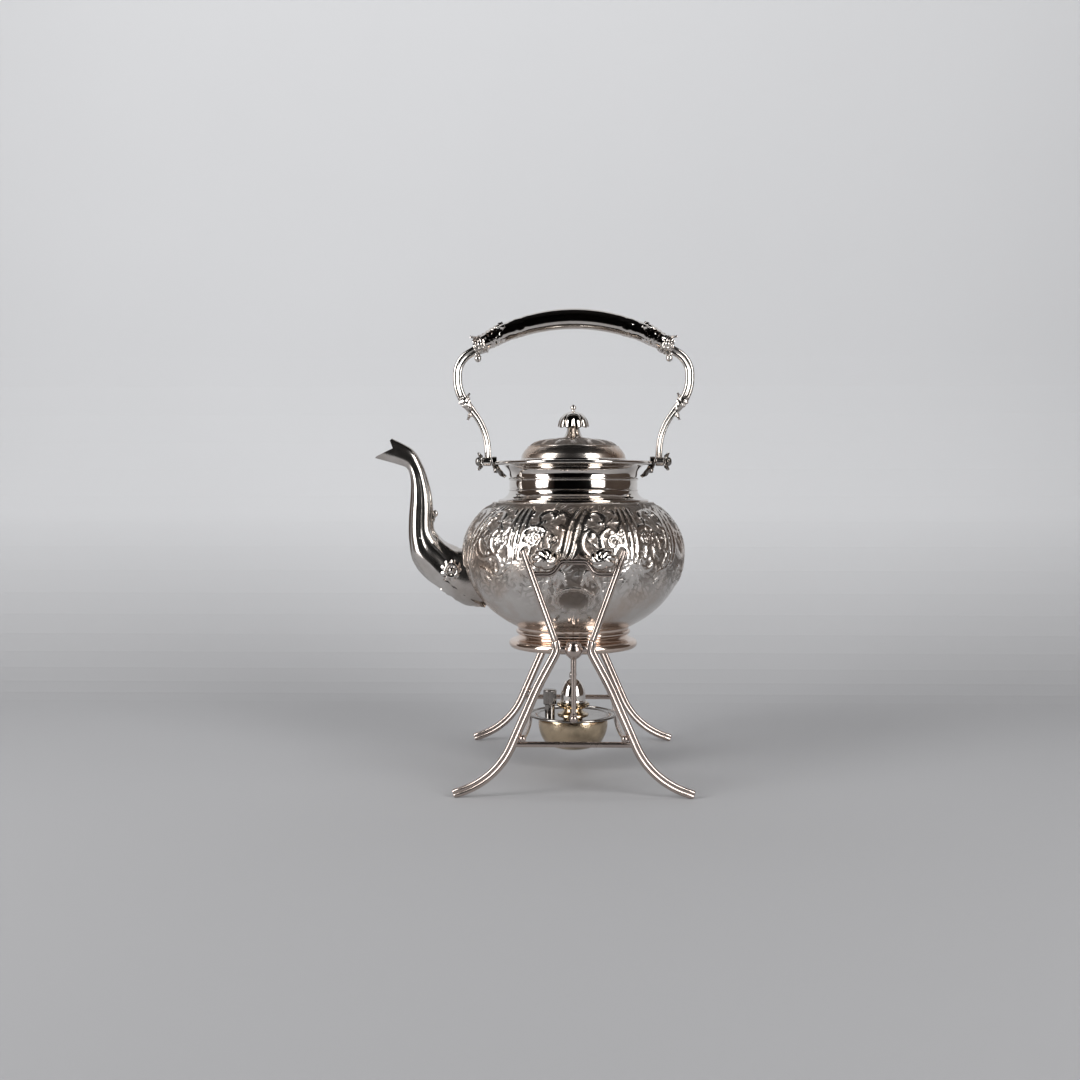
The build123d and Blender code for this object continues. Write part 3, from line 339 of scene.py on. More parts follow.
def leaf(length, width, rise, curl, lobes=4, thick=0.7, ripple=1.0, columns=9):
    """Lobed leaf with a raised midrib, from the origin along +X, its face towards +Z."""
    rows = 22 if columns == 9 else 44
    vertices = []
    for row in range(rows + 1):
        u = row / rows
        swell = math.sin(math.pi * min(1.0, u ** 0.75)) ** 0.7 if 0 < u < 1 else 0.0
        edge = width / 2 * (0.12 + 0.88 * swell) * (1 + 0.16 * ripple * math.sin(2 * math.pi * lobes * u))
        edge *= 1 - 0.85 * max(0.0, (u - 0.85) / 0.15)
        for column in range(columns):
            v = 2 * column / (columns - 1) - 1
            x = length * u - abs(v) * edge * 0.25
            y = v * edge
            arch = rise * math.sin(math.pi * u * 0.9)
            rib = 0.45 * math.exp(-((v / 0.16) ** 2)) * width * 0.12
            vein = 0.04 * ripple * width * math.sin(2 * math.pi * (lobes * u - abs(v) * 0.8))
            cup = -0.18 * width * v * v
            z = arch + rib + vein * (1 - abs(v)) + cup + curl * max(0.0, u - 0.6) ** 2 * 6.25
            vertices.append((x, y, z))
    faces = []
    for row in range(rows):
        for column in range(columns - 1):
            a = row * columns + column
            faces.append((a, a + columns, a + columns + 1, a + 1))
    obj = mesh_object("leaf", vertices, faces)
    solid = obj.modifiers.new("Thickness", "SOLIDIFY")
    solid.thickness = thick * MM
    solid.offset = -1
    activate(obj)
    bpy.ops.object.modifier_apply(modifier=solid.name)
    outwards(obj)
    return obj


def flower(radius, petals, height, boss):
    """Open flower in relief, facing +Z, its back closed by a flat face."""
    rings, spokes = 14, petals * 8
    vertices = [(0.0, 0.0, height)]
    for ring in range(1, rings + 1):
        share = ring / rings
        for spoke in range(spokes):
            angle = 2 * math.pi * spoke / spokes
            lobe = abs(math.cos(petals * angle / 2))
            reach = radius * share * (0.72 + 0.28 * lobe ** 0.6)
            dome = boss * max(0.0, 1 - (share / 0.34) ** 2)
            petal = 0.5 * height * math.sin(math.pi * min(1, max(0, (share - 0.25) / 0.75))) * (0.35 + 0.65 * lobe)
            drop = height * 0.35 * (1 - share)
            vertices.append((reach * math.cos(angle), reach * math.sin(angle), dome * height + petal + drop))
    base = len(vertices)
    for spoke in range(spokes):
        angle = 2 * math.pi * spoke / spokes
        lobe = abs(math.cos(petals * angle / 2))
        reach = radius * (0.72 + 0.28 * lobe ** 0.6) * 0.94
        vertices.append((reach * math.cos(angle), reach * math.sin(angle), -height * 0.55))
    faces = [(0, 1 + k, 1 + (k + 1) % spokes) for k in range(spokes)]
    for ring in range(rings):
        for k in range(spokes):
            j = (k + 1) % spokes
            a = 1 + ring * spokes
            faces.append((a + k, a + spokes + k, a + spokes + j, a + j))
    faces.append(tuple(base + k for k in range(spokes)))
    vertices[0] = (0.0, 0.0, boss * height + height * 0.35)
    return mesh_object("flower", vertices, faces)


def place(obj, matrix):
    """Carries a modelled piece to its place, in its mesh, in millimetres."""
    move = matrix.copy()
    move.translation = move.translation * MM
    obj.data.transform(move)
    if matrix.determinant() < 0:
        obj.data.flip_normals()
    return obj


def frame_matrix(origin, x_axis, z_axis):
    """Matrix whose X and Z axes point along two directions, at an origin in millimetres."""
    x = Vector(x_axis).normalized()
    y = Vector(z_axis).cross(x).normalized()
    z = x.cross(y)
    matrix = Matrix((x, y, z)).transposed().to_4x4()
    matrix.translation = Vector(origin)
    return matrix


def copy_of(obj):
    twin = obj.copy()
    twin.data = obj.data.copy()
    bpy.context.collection.objects.link(twin)
    return twin


def join(objects):
    deselect()
    for obj in objects:
        obj.select_set(True)
    bpy.context.view_layer.objects.active = objects[0]
    if len(objects) > 1:
        bpy.ops.object.join()
    return bpy.context.object


def dress(obj, name, body, material, nodes=(), angle=38.0):
    """Names a finished piece, smooths it, gives it its material and hangs it on its body."""
    activate(obj)
    bpy.ops.object.transform_apply(location=True, rotation=True, scale=True)
    obj.name = name
    obj.data.name = name
    bpy.ops.object.shade_smooth_by_angle(angle=math.radians(angle))
    obj.data.materials.clear()
    obj.data.materials.append(material)
    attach(obj, body)
    if nodes:
        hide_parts(*nodes)
    return obj


def settle(node, material):
    """Gives a solid that stays as it is its material."""
    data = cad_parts[node].data
    data.materials.clear()
    data.materials.append(material)


# ------------------------------------------------------------------ materials
def new_group(name, inputs, outputs):
    group = bpy.data.node_groups.new(name, "ShaderNodeTree")
    for label, kind, default in inputs:
        socket = group.interface.new_socket(name=label, in_out="INPUT", socket_type=kind)
        socket.default_value = default
    for label, kind in outputs:
        group.interface.new_socket(name=label, in_out="OUTPUT", socket_type=kind)
    return group, group.nodes.new("NodeGroupInput"), group.nodes.new("NodeGroupOutput")


def math_node(tree, operation, a, b=None, clamp=False):
    node = tree.nodes.new("ShaderNodeMath")
    node.operation = operation
    node.use_clamp = clamp
    for index, value in enumerate((a, b)):
        if value is None:
            continue
        if isinstance(value, (int, float)):
            node.inputs[index].default_value = value
        else:
            tree.links.new(value, node.inputs[index])
    return node.outputs[0]


def mix_colour(tree, factor, a, b):
    node = tree.nodes.new("ShaderNodeMix")
    node.data_type = "RGBA"
    for socket, value in ((node.inputs[0], factor), (node.inputs[6], a), (node.inputs[7], b)):
        if isinstance(value, (int, float)):
            socket.default_value = value
        elif isinstance(value, (tuple, list)):
            socket.default_value = (*value[:3], 1)
        else:
            tree.links.new(value, socket)
    return node.outputs[2]


def noise_node(tree, coordinates, scale, detail=4.0, roughness=0.55):
    node = tree.nodes.new("ShaderNodeTexNoise")
    node.inputs["Detail"].default_value = detail
    node.inputs["Roughness"].default_value = roughness
    if isinstance(scale, (int, float)):
        node.inputs["Scale"].default_value = scale
    else:
        tree.links.new(scale, node.inputs["Scale"])
    tree.links.new(coordinates, node.inputs["Vector"])
    return node.outputs[0]


def map_range(tree, value, low, high, to_low, to_high):
    node = tree.nodes.new("ShaderNodeMapRange")
    for socket, number in zip(node.inputs[1:5], (low, high, to_low, to_high)):
        socket.default_value = number
    tree.links.new(value, node.inputs[0])
    return node.outputs[0]


def plate_patina():
    """Cloudy tarnish and handling marks of silver plate, as a colour and a roughness."""
    group, start, end = new_group(
        "Plate Patina",
        (
            ("Clean", "NodeSocketColor", (0.87, 0.85, 0.82, 1)),
            ("Tarnish", "NodeSocketColor", (0.6, 0.52, 0.46, 1)),
            ("Amount", "NodeSocketFloat", 0.35),
            ("Polish", "NodeSocketFloat", 0.09),
        ),
        (("Colour", "NodeSocketColor"), ("Roughness", "NodeSocketFloat")),
    )
    place_node = group.nodes.new("ShaderNodeTexCoord").outputs["Object"]
    cloud = noise_node(group, place_node, 22.0, 5.0, 0.6)
    smear = noise_node(group, place_node, 140.0, 3.0, 0.5)
    cover = map_range(group, cloud, 0.42, 0.72, 0.0, 1.0)
    share = math_node(group, "MULTIPLY", cover, start.outputs["Amount"], clamp=True)
    colour = mix_colour(group, share, start.outputs["Clean"], start.outputs["Tarnish"])
    haze = math_node(group, "MULTIPLY", share, 0.10)
    streak = map_range(group, smear, 0.45, 0.75, 0.0, 0.03)
    rough = math_node(group, "ADD", math_node(group, "ADD", start.outputs["Polish"], haze), streak)
    group.links.new(colour, end.inputs["Colour"])
    group.links.new(rough, end.inputs["Roughness"])
    return group


def hand_polish():
    """Very fine polishing lines and small dents, as a height."""
    group, start, end = new_group(
        "Hand Polish", (("Strength", "NodeSocketFloat", 1.0),), (("Height", "NodeSocketFloat"),)
    )
    place_node = group.nodes.new("ShaderNodeTexCoord").outputs["Object"]
    stretch = group.nodes.new("ShaderNodeMapping")
    stretch.inputs["Scale"].default_value = (1.0, 1.0, 9.0)
    group.links.new(place_node, stretch.inputs["Vector"])
    lines = noise_node(group, stretch.outputs[0], 420.0, 2.0, 0.5)
    dents = noise_node(group, place_node, 38.0, 2.0, 0.4)
    total = math_node(group, "ADD", math_node(group, "MULTIPLY", lines, 0.12), dents)
    group.links.new(math_node(group, "MULTIPLY", total, start.outputs["Strength"]), end.inputs["Height"])
    return group


def punched_ground():
    """Matt ground of small punch marks, as a height."""
    group, start, end = new_group(
        "Punched Ground", (("Scale", "NodeSocketFloat", 900.0),), (("Height", "NodeSocketFloat"),)
    )
    place_node = group.nodes.new("ShaderNodeTexCoord").outputs["Object"]
    cells = group.nodes.new("ShaderNodeTexVoronoi")
    group.links.new(start.outputs["Scale"], cells.inputs["Scale"])
    group.links.new(place_node, cells.inputs["Vector"])
    group.links.new(map_range(group, cells.outputs["Distance"], 0.0, 0.55, 1.0, 0.0), end.inputs["Height"])
    return group


def engraved_lines():
    """Fine flowing lines cut with a graver, as a mask."""
    group, start, end = new_group(
        "Engraved Lines", (("Scale", "NodeSocketFloat", 100.0),), (("Mask", "NodeSocketFloat"),)
    )
    place_node = group.nodes.new("ShaderNodeTexCoord").outputs["Object"]
    masks = []
    for turn in ((0.4, 0.0, 0.3), (-0.5, 0.7, -0.6)):
        tilt = group.nodes.new("ShaderNodeMapping")
        tilt.inputs["Rotation"].default_value = turn
        wave = group.nodes.new("ShaderNodeTexWave")
        wave.bands_direction = "DIAGONAL"
        wave.inputs["Distortion"].default_value = 14.0
        wave.inputs["Detail"].default_value = 1.5
        wave.inputs["Detail Scale"].default_value = 0.9
        group.links.new(start.outputs["Scale"], wave.inputs["Scale"])
        group.links.new(place_node, tilt.inputs["Vector"])
        group.links.new(tilt.outputs[0], wave.inputs["Vector"])
        masks.append(map_range(group, wave.outputs["Fac"], 0.06, 0.34, 1.0, 0.0))
    group.links.new(math_node(group, "MAXIMUM", *masks, clamp=True), end.inputs["Mask"])
    return group


GROUPS = {}
MATERIALS = {}


def shared(maker):
    if maker.__name__ not in GROUPS:
        GROUPS[maker.__name__] = maker()
    return GROUPS[maker.__name__]


def use_group(tree, maker, **values):
    node = tree.nodes.new("ShaderNodeGroup")
    node.node_tree = shared(maker)
    for label, value in values.items():
        node.inputs[label].default_value = (*value[:3], 1) if hasattr(value, "__len__") else value
    return node


def blank_material(name):
    material = bpy.data.materials.new(name)
    material.use_nodes = True
    return material, material.node_tree, material.node_tree.nodes["Principled BSDF"]


def plate(name, clean, tarnish, amount, polish, dents=0.00006, ground=0.0, chased=False):
    """Silver plate; a chased one darkens in its recesses and is punched between them."""
    if name in MATERIALS:
        return MATERIALS[name]
    material, tree, shader = blank_material(name)
    shader.inputs["Metallic"].default_value = 1.0
    patina = use_group(tree, plate_patina, Clean=clean, Tarnish=tarnish, Amount=amount, Polish=polish)
    colour, rough = patina.outputs["Colour"], patina.outputs["Roughness"]
    fine = use_group(tree, hand_polish, Strength=1.0)
    bump = tree.nodes.new("ShaderNodeBump")
    bump.inputs["Strength"].default_value = 1.0
    bump.inputs["Distance"].default_value = dents
    tree.links.new(fine.outputs["Height"], bump.inputs["Height"])
    if chased:
        relief = tree.nodes.new("ShaderNodeAttribute")
        relief.attribute_name = "relief"
        field = tree.nodes.new("ShaderNodeAttribute")
        field.attribute_name = "field"
        low = map_range(tree, relief.outputs["Fac"], 0.08, 0.62, 1.0, 0.0)
        dark = math_node(tree, "MULTIPLY", low, field.outputs["Fac"], clamp=True)
        colour = mix_colour(tree, math_node(tree, "MULTIPLY", dark, 0.80), colour, tuple(finish_of().recess))
        rough = math_node(tree, "ADD", rough, math_node(tree, "MULTIPLY", dark, 0.26))
        cut = tree.nodes.new("ShaderNodeAttribute")
        cut.attribute_name = "engraved"
        lines = use_group(tree, engraved_lines, Scale=74.0)
        engraved = math_node(tree, "MULTIPLY", lines.outputs["Mask"], cut.outputs["Fac"], clamp=True)
        colour = mix_colour(tree, math_node(tree, "MULTIPLY", engraved, 0.55), colour, tuple(finish_of().recess))
        graver = tree.nodes.new("ShaderNodeBump")
        graver.invert = True
        graver.inputs["Distance"].default_value = 0.00025
        tree.links.new(engraved, graver.inputs["Height"])
        tree.links.new(bump.outputs["Normal"], graver.inputs["Normal"])
        bump = graver
        punch = use_group(tree, punched_ground, Scale=ground)
        marks = tree.nodes.new("ShaderNodeBump")
        marks.inputs["Strength"].default_value = 1.0
        marks.inputs["Distance"].default_value = 0.0002
        tree.links.new(math_node(tree, "MULTIPLY", punch.outputs["Height"], dark), marks.inputs["Height"])
        tree.links.new(bump.outputs["Normal"], marks.inputs["Normal"])
        bump = marks
    tree.links.new(colour, shader.inputs["Base Color"])
    tree.links.new(rough, shader.inputs["Roughness"])
    tree.links.new(bump.outputs["Normal"], shader.inputs["Normal"])
    MATERIALS[name] = material
    return material


def silver():
    f = finish_of()
    return plate("Polished plate", f.silver, f.tarnish, 0.45, f.roughness)


def chased_silver():
    f = finish_of()
    return plate("Chased plate", f.silver, (f.tarnish[0] * 1.1, f.tarnish[1], f.tarnish[2] * 0.9), 0.9, f.roughness + 0.15, ground=1300.0, chased=True)


def cast_silver():
    f = finish_of()
    dark = tuple(c * 0.62 for c in f.tarnish)
    return plate("Cast plate", tuple(c * 0.94 for c in f.silver), dark, 0.8, f.roughness + 0.13, dents=0.0002)


# Foot plate whose warm rose colour is a painted reflection of the warm room, not wear.
def painted_reflection_silver():
    f = finish_of()
    return plate("Foot plate with painted warm reflection", f.warm, tuple(c * 0.6 for c in f.warm), 0.7, f.roughness + 0.05)


def dark_silver():
    f = finish_of()
    dark = tuple(c * 0.45 for c in f.silver)
    return plate("Dark cast plate", dark, tuple(c * 0.35 for c in f.tarnish), 0.9, f.roughness + 0.05, dents=0.0002)


def stand_silver():
    f = finish_of()
    return plate("Stand plate", f.stand, tuple(c * 0.62 for c in f.stand), 0.8, f.roughness + 0.17, dents=0.0001)


def burner_plate_material():
    f = finish_of()
    return plate("Burner plate", f.burner, tuple(c * 0.30 for c in f.burner), 1.3, f.roughness + 0.09, dents=0.0004)


def turned_steel():
    f = finish_of()
    return plate("Turned steel", (0.42, 0.41, 0.41), f.tarnish, 0.4, 0.2, dents=0.0002)


def braided_cotton():
    if "Braided cotton" in MATERIALS:
        return MATERIALS["Braided cotton"]
    material, tree, shader = blank_material("Braided cotton")
    place_node = tree.nodes.new("ShaderNodeTexCoord").outputs["Object"]
    waves = []
    for tilt in (0.9, -0.9):
        turn = tree.nodes.new("ShaderNodeMapping")
        turn.inputs["Rotation"].default_value = (tilt, tilt, 0.0)
        wave = tree.nodes.new("ShaderNodeTexWave")
        wave.inputs["Scale"].default_value = 260.0
        wave.inputs["Distortion"].default_value = 1.2
        tree.links.new(place_node, turn.inputs["Vector"])
        tree.links.new(turn.outputs[0], wave.inputs["Vector"])
        waves.append(wave.outputs["Fac"])
    weave = math_node(tree, "MAXIMUM", *waves)
    singe = noise_node(tree, place_node, 300.0)
    pale = mix_colour(tree, singe, tuple(finish_of().wick), (0.42, 0.36, 0.28))
    tree.links.new(mix_colour(tree, math_node(tree, "MULTIPLY", weave, 0.35), (0.2, 0.17, 0.13), pale), shader.inputs["Base Color"])
    shader.inputs["Roughness"].default_value = 0.92
    bump = tree.nodes.new("ShaderNodeBump")
    bump.inputs["Distance"].default_value = 0.0006
    tree.links.new(weave, bump.inputs["Height"])
    tree.links.new(bump.outputs["Normal"], shader.inputs["Normal"])
    MATERIALS["Braided cotton"] = material
    return material


def pressed_leather():
    if "Pressed leather" in MATERIALS:
        return MATERIALS["Pressed leather"]
    material, tree, shader = blank_material("Pressed leather")
    place_node = tree.nodes.new("ShaderNodeTexCoord").outputs["Object"]
    grain = noise_node(tree, place_node, 900.0, 5.0)
    tree.links.new(mix_colour(tree, grain, tuple(finish_of().leather), (0.12, 0.07, 0.04)), shader.inputs["Base Color"])
    shader.inputs["Roughness"].default_value = 0.7
    bump = tree.nodes.new("ShaderNodeBump")
    bump.inputs["Distance"].default_value = 0.0003
    tree.links.new(grain, bump.inputs["Height"])
    tree.links.new(bump.outputs["Normal"], shader.inputs["Normal"])
    MATERIALS["Pressed leather"] = material
    return material


# ------------------------------------------------------------------ chased relief
def ridge(distance, width):
    return np.clip(1 - (distance / width) ** 2, 0, 1)


def window(value, low, high, soft):
    rise = np.clip((value - low) / soft, 0, 1)
    fall = np.clip((high - value) / soft, 0, 1)
    return rise * rise * (3 - 2 * rise) * fall * fall * (3 - 2 * fall)


def chased_flower(s, t, radius, petals, turn=0.0):
    """Flower of a lobed outer ring, a plain inner ring and a bead, with sunk grooves between."""
    rho = np.hypot(s, t)
    lobe = np.abs(np.cos(petals * (np.arctan2(t, s) + turn) / 2))
    reach = radius * (0.80 + 0.20 * lobe ** 0.6)
    outer = ridge(rho - reach * 0.80, radius * 0.21) * (0.65 + 0.35 * lobe)
    inner = 0.9 * ridge(rho - radius * 0.42, radius * 0.15)
    return np.maximum(np.maximum(outer, inner), ridge(rho, radius * 0.19))


def chased_leaf(s, t, angle, length, width, lobes=3):
    c, d = math.cos(math.radians(angle)), math.sin(math.radians(angle))
    along = s * c + t * d
    side = -s * d + t * c
    side = side - 0.05 * along * along / max(length, 1) * (1 if math.cos(math.radians(angle)) >= 0 else -1)
    u = np.clip(along / length, 0, 1)
    edge = width * np.sin(math.pi * u ** 0.8) ** 0.8 * (1 + 0.2 * np.sin(2 * math.pi * lobes * u))
    edge = np.maximum(edge, 0.01)
    inside = (along > 0) & (along < length)
    body = np.sqrt(np.clip(1 - (side / edge) ** 2, 0, 1)) * 0.85
    veins = 0.6 * np.cos(2 * math.pi * (along / length * lobes * 2 - np.abs(side) / width)) * (np.abs(side) > 0.4)
    rib = ridge(side, 0.55) * 0.35
    return np.clip(body * (0.85 + veins * 0.4) + rib * (body > 0.05), 0, 1.2) * inside * (body > 0)


def chased_scroll(s, t, radius, width, start, size):
    """C-shaped scroll that swells in the middle and ends in a bead."""
    rho = np.hypot(s, t)
    theta = np.degrees(np.arctan2(t, s))
    along = (theta - start) % 360
    share = along / size
    thick = width * (0.45 + 0.75 * np.sin(math.pi * np.clip(share, 0, 1)))
    band = np.sqrt(ridge(rho - radius, thick)) * (share < 1)
    for end in (start, start + size):
        x = (radius - width) * math.cos(math.radians(end))
        z = (radius - width) * math.sin(math.radians(end))
        band = np.maximum(band, ridge(np.hypot(s - x, t - z), width * 1.25) * 1.05)
    return band


def chased_flutes(s, t, lean, count, pitch, low, high):
    """Bundle of flutes that lean over in a swirl, drawn together at both ends."""
    middle, half = (low + high) / 2, (high - low) / 2
    share = np.clip((t - middle) / half, -1, 1)
    centre = lean * (0.5 * share + 0.5 * share ** 3)
    gather = 1 - 0.42 * np.abs(share) ** 2.2
    step = pitch * gather
    offset = (s - centre) / step
    inside = np.abs(offset) < count / 2
    wave = np.abs(np.cos(math.pi * (offset + (0.5 if count % 2 == 0 else 0.0))))
    return (1 - (1 - wave) ** 1.6) * inside * window(t, low, high, half * 0.22)


def chasing(phi, t, radius, repeats):
    """Height from 0 to about 1 of the body's ornament, by angle and distance up its side."""
    height = np.zeros_like(phi)
    cell = 2 * math.pi / repeats

    def stamp(angle, level, motif, reach):
        nonlocal height
        s = (np.mod(phi - angle + math.pi, 2 * math.pi) - math.pi) * radius
        near = (np.abs(s) < reach) & (np.abs(t - level) < reach)
        if near.any():
            height[near] = np.maximum(height[near], motif(s[near], t[near] - level))

    for k in range(repeats):
        a = k * cell
        mm = 1 / 91.8
        stamp(a, 18, lambda s, v: chased_flutes(s, v, 13.0, 3, 6.4, -31, 31), 44)
        stamp(a + cell / 2, 19, lambda s, v: chased_flutes(s, v, 1.5, 3, 5.6, -27, 29), 40)
        stamp(a + 17.0 * mm, 10, lambda s, v: chased_scroll(s, v, 12.0, 3.4, 110, 185), 21)
        stamp(a - 15.5 * mm, 31, lambda s, v: chased_scroll(s, v, 10.0, 2.8, -60, 170), 19)
        stamp(a + cell / 2 - 11.5 * mm, 2, lambda s, v: chased_scroll(s, v, 7.5, 2.2, -75, 190), 14)
        stamp(a + cell / 2 + 11.5 * mm, 2, lambda s, v: chased_scroll(-s, v, 7.5, 2.2, -75, 190), 14)
        for leafy in range(72):
            heading = leafy * 137.508 % 360
            size = 5.6 + leafy % 4 * 1.3
            stamp(
                a + cell * (leafy * 0.618034 % 1),
                -14 + 62 * (leafy * 0.754878 % 1),
                lambda s, v, q=(heading, size): 0.66 * chased_leaf(s, v, q[0], q[1], q[1] * 0.24, lobes=2),
                11,
            )
        # flowers and the scrolls that hold them
        stamp(a - 20 * math.pi / 180, 14, lambda s, v: chased_flower(s, v, 7.0, 8), 10)
        stamp(a - 10.6 * math.pi / 180, 14, lambda s, v: chased_flower(s, v, 4.8, 6, 0.3), 7)
        stamp(a + 20.5 * math.pi / 180, 12, lambda s, v: chased_flower(s, v, 7.0, 8, 0.2), 10)
        stamp(a + 20.5 * math.pi / 180, 12, lambda s, v: chased_scroll(s, v, 11.2, 2.5, 100, 165), 17)
        stamp(a - 20 * math.pi / 180, 14, lambda s, v: chased_scroll(s, v, 10.8, 2.3, 30, 130), 17)
        stamp(a + 12.5 * math.pi / 180, 32, lambda s, v: chased_scroll(s, v, 6.4, 2.0, -60, 230), 12)
        stamp(a - 14 * math.pi / 180, 33, lambda s, v: chased_scroll(s, v, 6.8, 2.1, 10, 220), 12)
        stamp(a - 22 * math.pi / 180, -4, lambda s, v: chased_scroll(s, v, 6.6, 2.1, 150, 230), 12)
        stamp(a + 17 * math.pi / 180, -7, lambda s, v: chased_scroll(s, v, 7.6, 2.3, -80, 220), 13)
        for angle, length, width in ((62, 12, 2.7), (112, 13, 2.8), (160, 9, 2.2), (28, 9, 2.2)):
            c, d = math.cos(math.radians(angle)), math.sin(math.radians(angle))
            stamp(
                a + 20.5 * math.pi / 180 + 7 * c * mm,
                12 + 7 * d,
                lambda s, v, q=(angle, length, width): chased_leaf(s, v, *q),
                15,
            )
        for angle, length, width in ((80, 12, 2.6), (200, 10, 2.3), (255, 13, 2.8), (300, 12, 2.5)):
            c, d = math.cos(math.radians(angle)), math.sin(math.radians(angle))
            stamp(
                a - 20 * math.pi / 180 + 7 * c * mm,
                14 + 7 * d,
                lambda s, v, q=(angle, length, width): chased_leaf(s, v, *q),
                15,
            )
        # leaves that hang from the panels over the plain lower part
        for angle, length, width in (
            (-158, 14, 2.2), (-132, 18, 2.6), (-110, 22, 2.8), (-90, 27, 3.2), (-70, 22, 2.8), (-48, 18, 2.6),
            (-22, 14, 2.2),
        ):
            stamp(
                a + cell / 2,
                -4,
                lambda s, v, q=(angle, length, width): chased_leaf(s, v, *q, lobes=4),
                27,
            )
        for angle, length, width in ((-160, 12, 2.6), (-128, 18, 3.4), (-98, 20, 3.4)):
            stamp(
                a - 11 * mm, -9, lambda s, v, q=(angle, length, width): chased_leaf(s, v, *q, lobes=4), 22
            )
        for angle, length, width in ((-20, 12, 2.5), (-52, 17, 3.2), (-84, 15, 2.8)):
            stamp(
                a + 9 * mm, -9, lambda s, v, q=(angle, length, width): chased_leaf(s, v, *q, lobes=4), 22
            )
        # buds near the shoulder
        for shift in (-24, -8, 8, 24):
            stamp(
                a + shift * math.pi / 180,
                42,
                lambda s, v: chased_leaf(s, v, -90, 8, 1.9, lobes=2),
                9,
            )
    # oval frames low on the front and the back, and their scrolls
    for a in (0.0, math.pi):
        stamp(a, -36, lambda s, v: ridge(np.hypot(s / 1.32, v) - 11.6, 1.5), 19)
        stamp(a, -36, lambda s, v: 0.7 * ridge(np.hypot(s / 1.32, v) - 9.4, 0.7), 19)
        for side in (-1, 1):
            stamp(a + side * 17 / 91.8, -26, lambda s, v, q=side: chased_scroll(s * q, v, 4.6, 1.3, -120, 240), 9)
            stamp(a + side * 13 / 91.8, -15, lambda s, v, q=side: chased_scroll(s * q, v, 5.2, 1.5, -40, 250), 9)
            for angle, length, width, out, up in (
                (-20, 12, 2.2, 18, -40), (-62, 12, 2.2, 14, -47), (35, 11, 2.2, 17, -33), (70, 10, 2.0, 6, -23),
                (-90, 9, 1.9, 4, -50), (15, 8, 1.8, 8, -12), (-75, 12, 2.2, 22, -28),
            ):
                stamp(
                    a + side * out / 91.8,
                    up,
                    lambda s, v, q=(side, angle, length, width): chased_leaf(s * q[0], v, *q[1:]),
                    14,
                )
        stamp(a, -56, lambda s, v: 0.8 * ridge(s, 0.8) * (v < 8), 9)
    # reeded border under the neck
    height = np.maximum(height, 0.55 * ridge(t - 50.4, 0.9))
    return height


def hash_noise(a, b):
    """Smooth, repeatable unevenness from sines."""
    return (
        np.sin(a * 12.9 + b * 7.3) + np.sin(a * 23.1 - b * 15.7 + 1.3) + np.sin(a * 41.7 + b * 33.3 + 2.1)
    ) / 3


def grid_mesh(name, rows, columns, positions, attributes):
    """Closed grid of rings round Z; the first and last ring may be poles."""
    vertices = positions.reshape(-1, 3)
    faces = []
    for row in range(rows - 1):
        start = row * columns
        for k in range(columns):
            j = (k + 1) % columns
            faces.append((start + k, start + j, start + columns + j, start + columns + k))
    mesh = bpy.data.meshes.new(name)
    mesh.from_pydata((vertices * MM).tolist(), [], faces)
    obj = bpy.data.objects.new(name, mesh)
    bpy.context.collection.objects.link(obj)
    for label, values in attributes.items():
        layer = mesh.attributes.new(label, "FLOAT", "POINT")
        layer.data.foreach_set("value", values.reshape(-1).astype(np.float32))
    outwards(obj)
    return obj


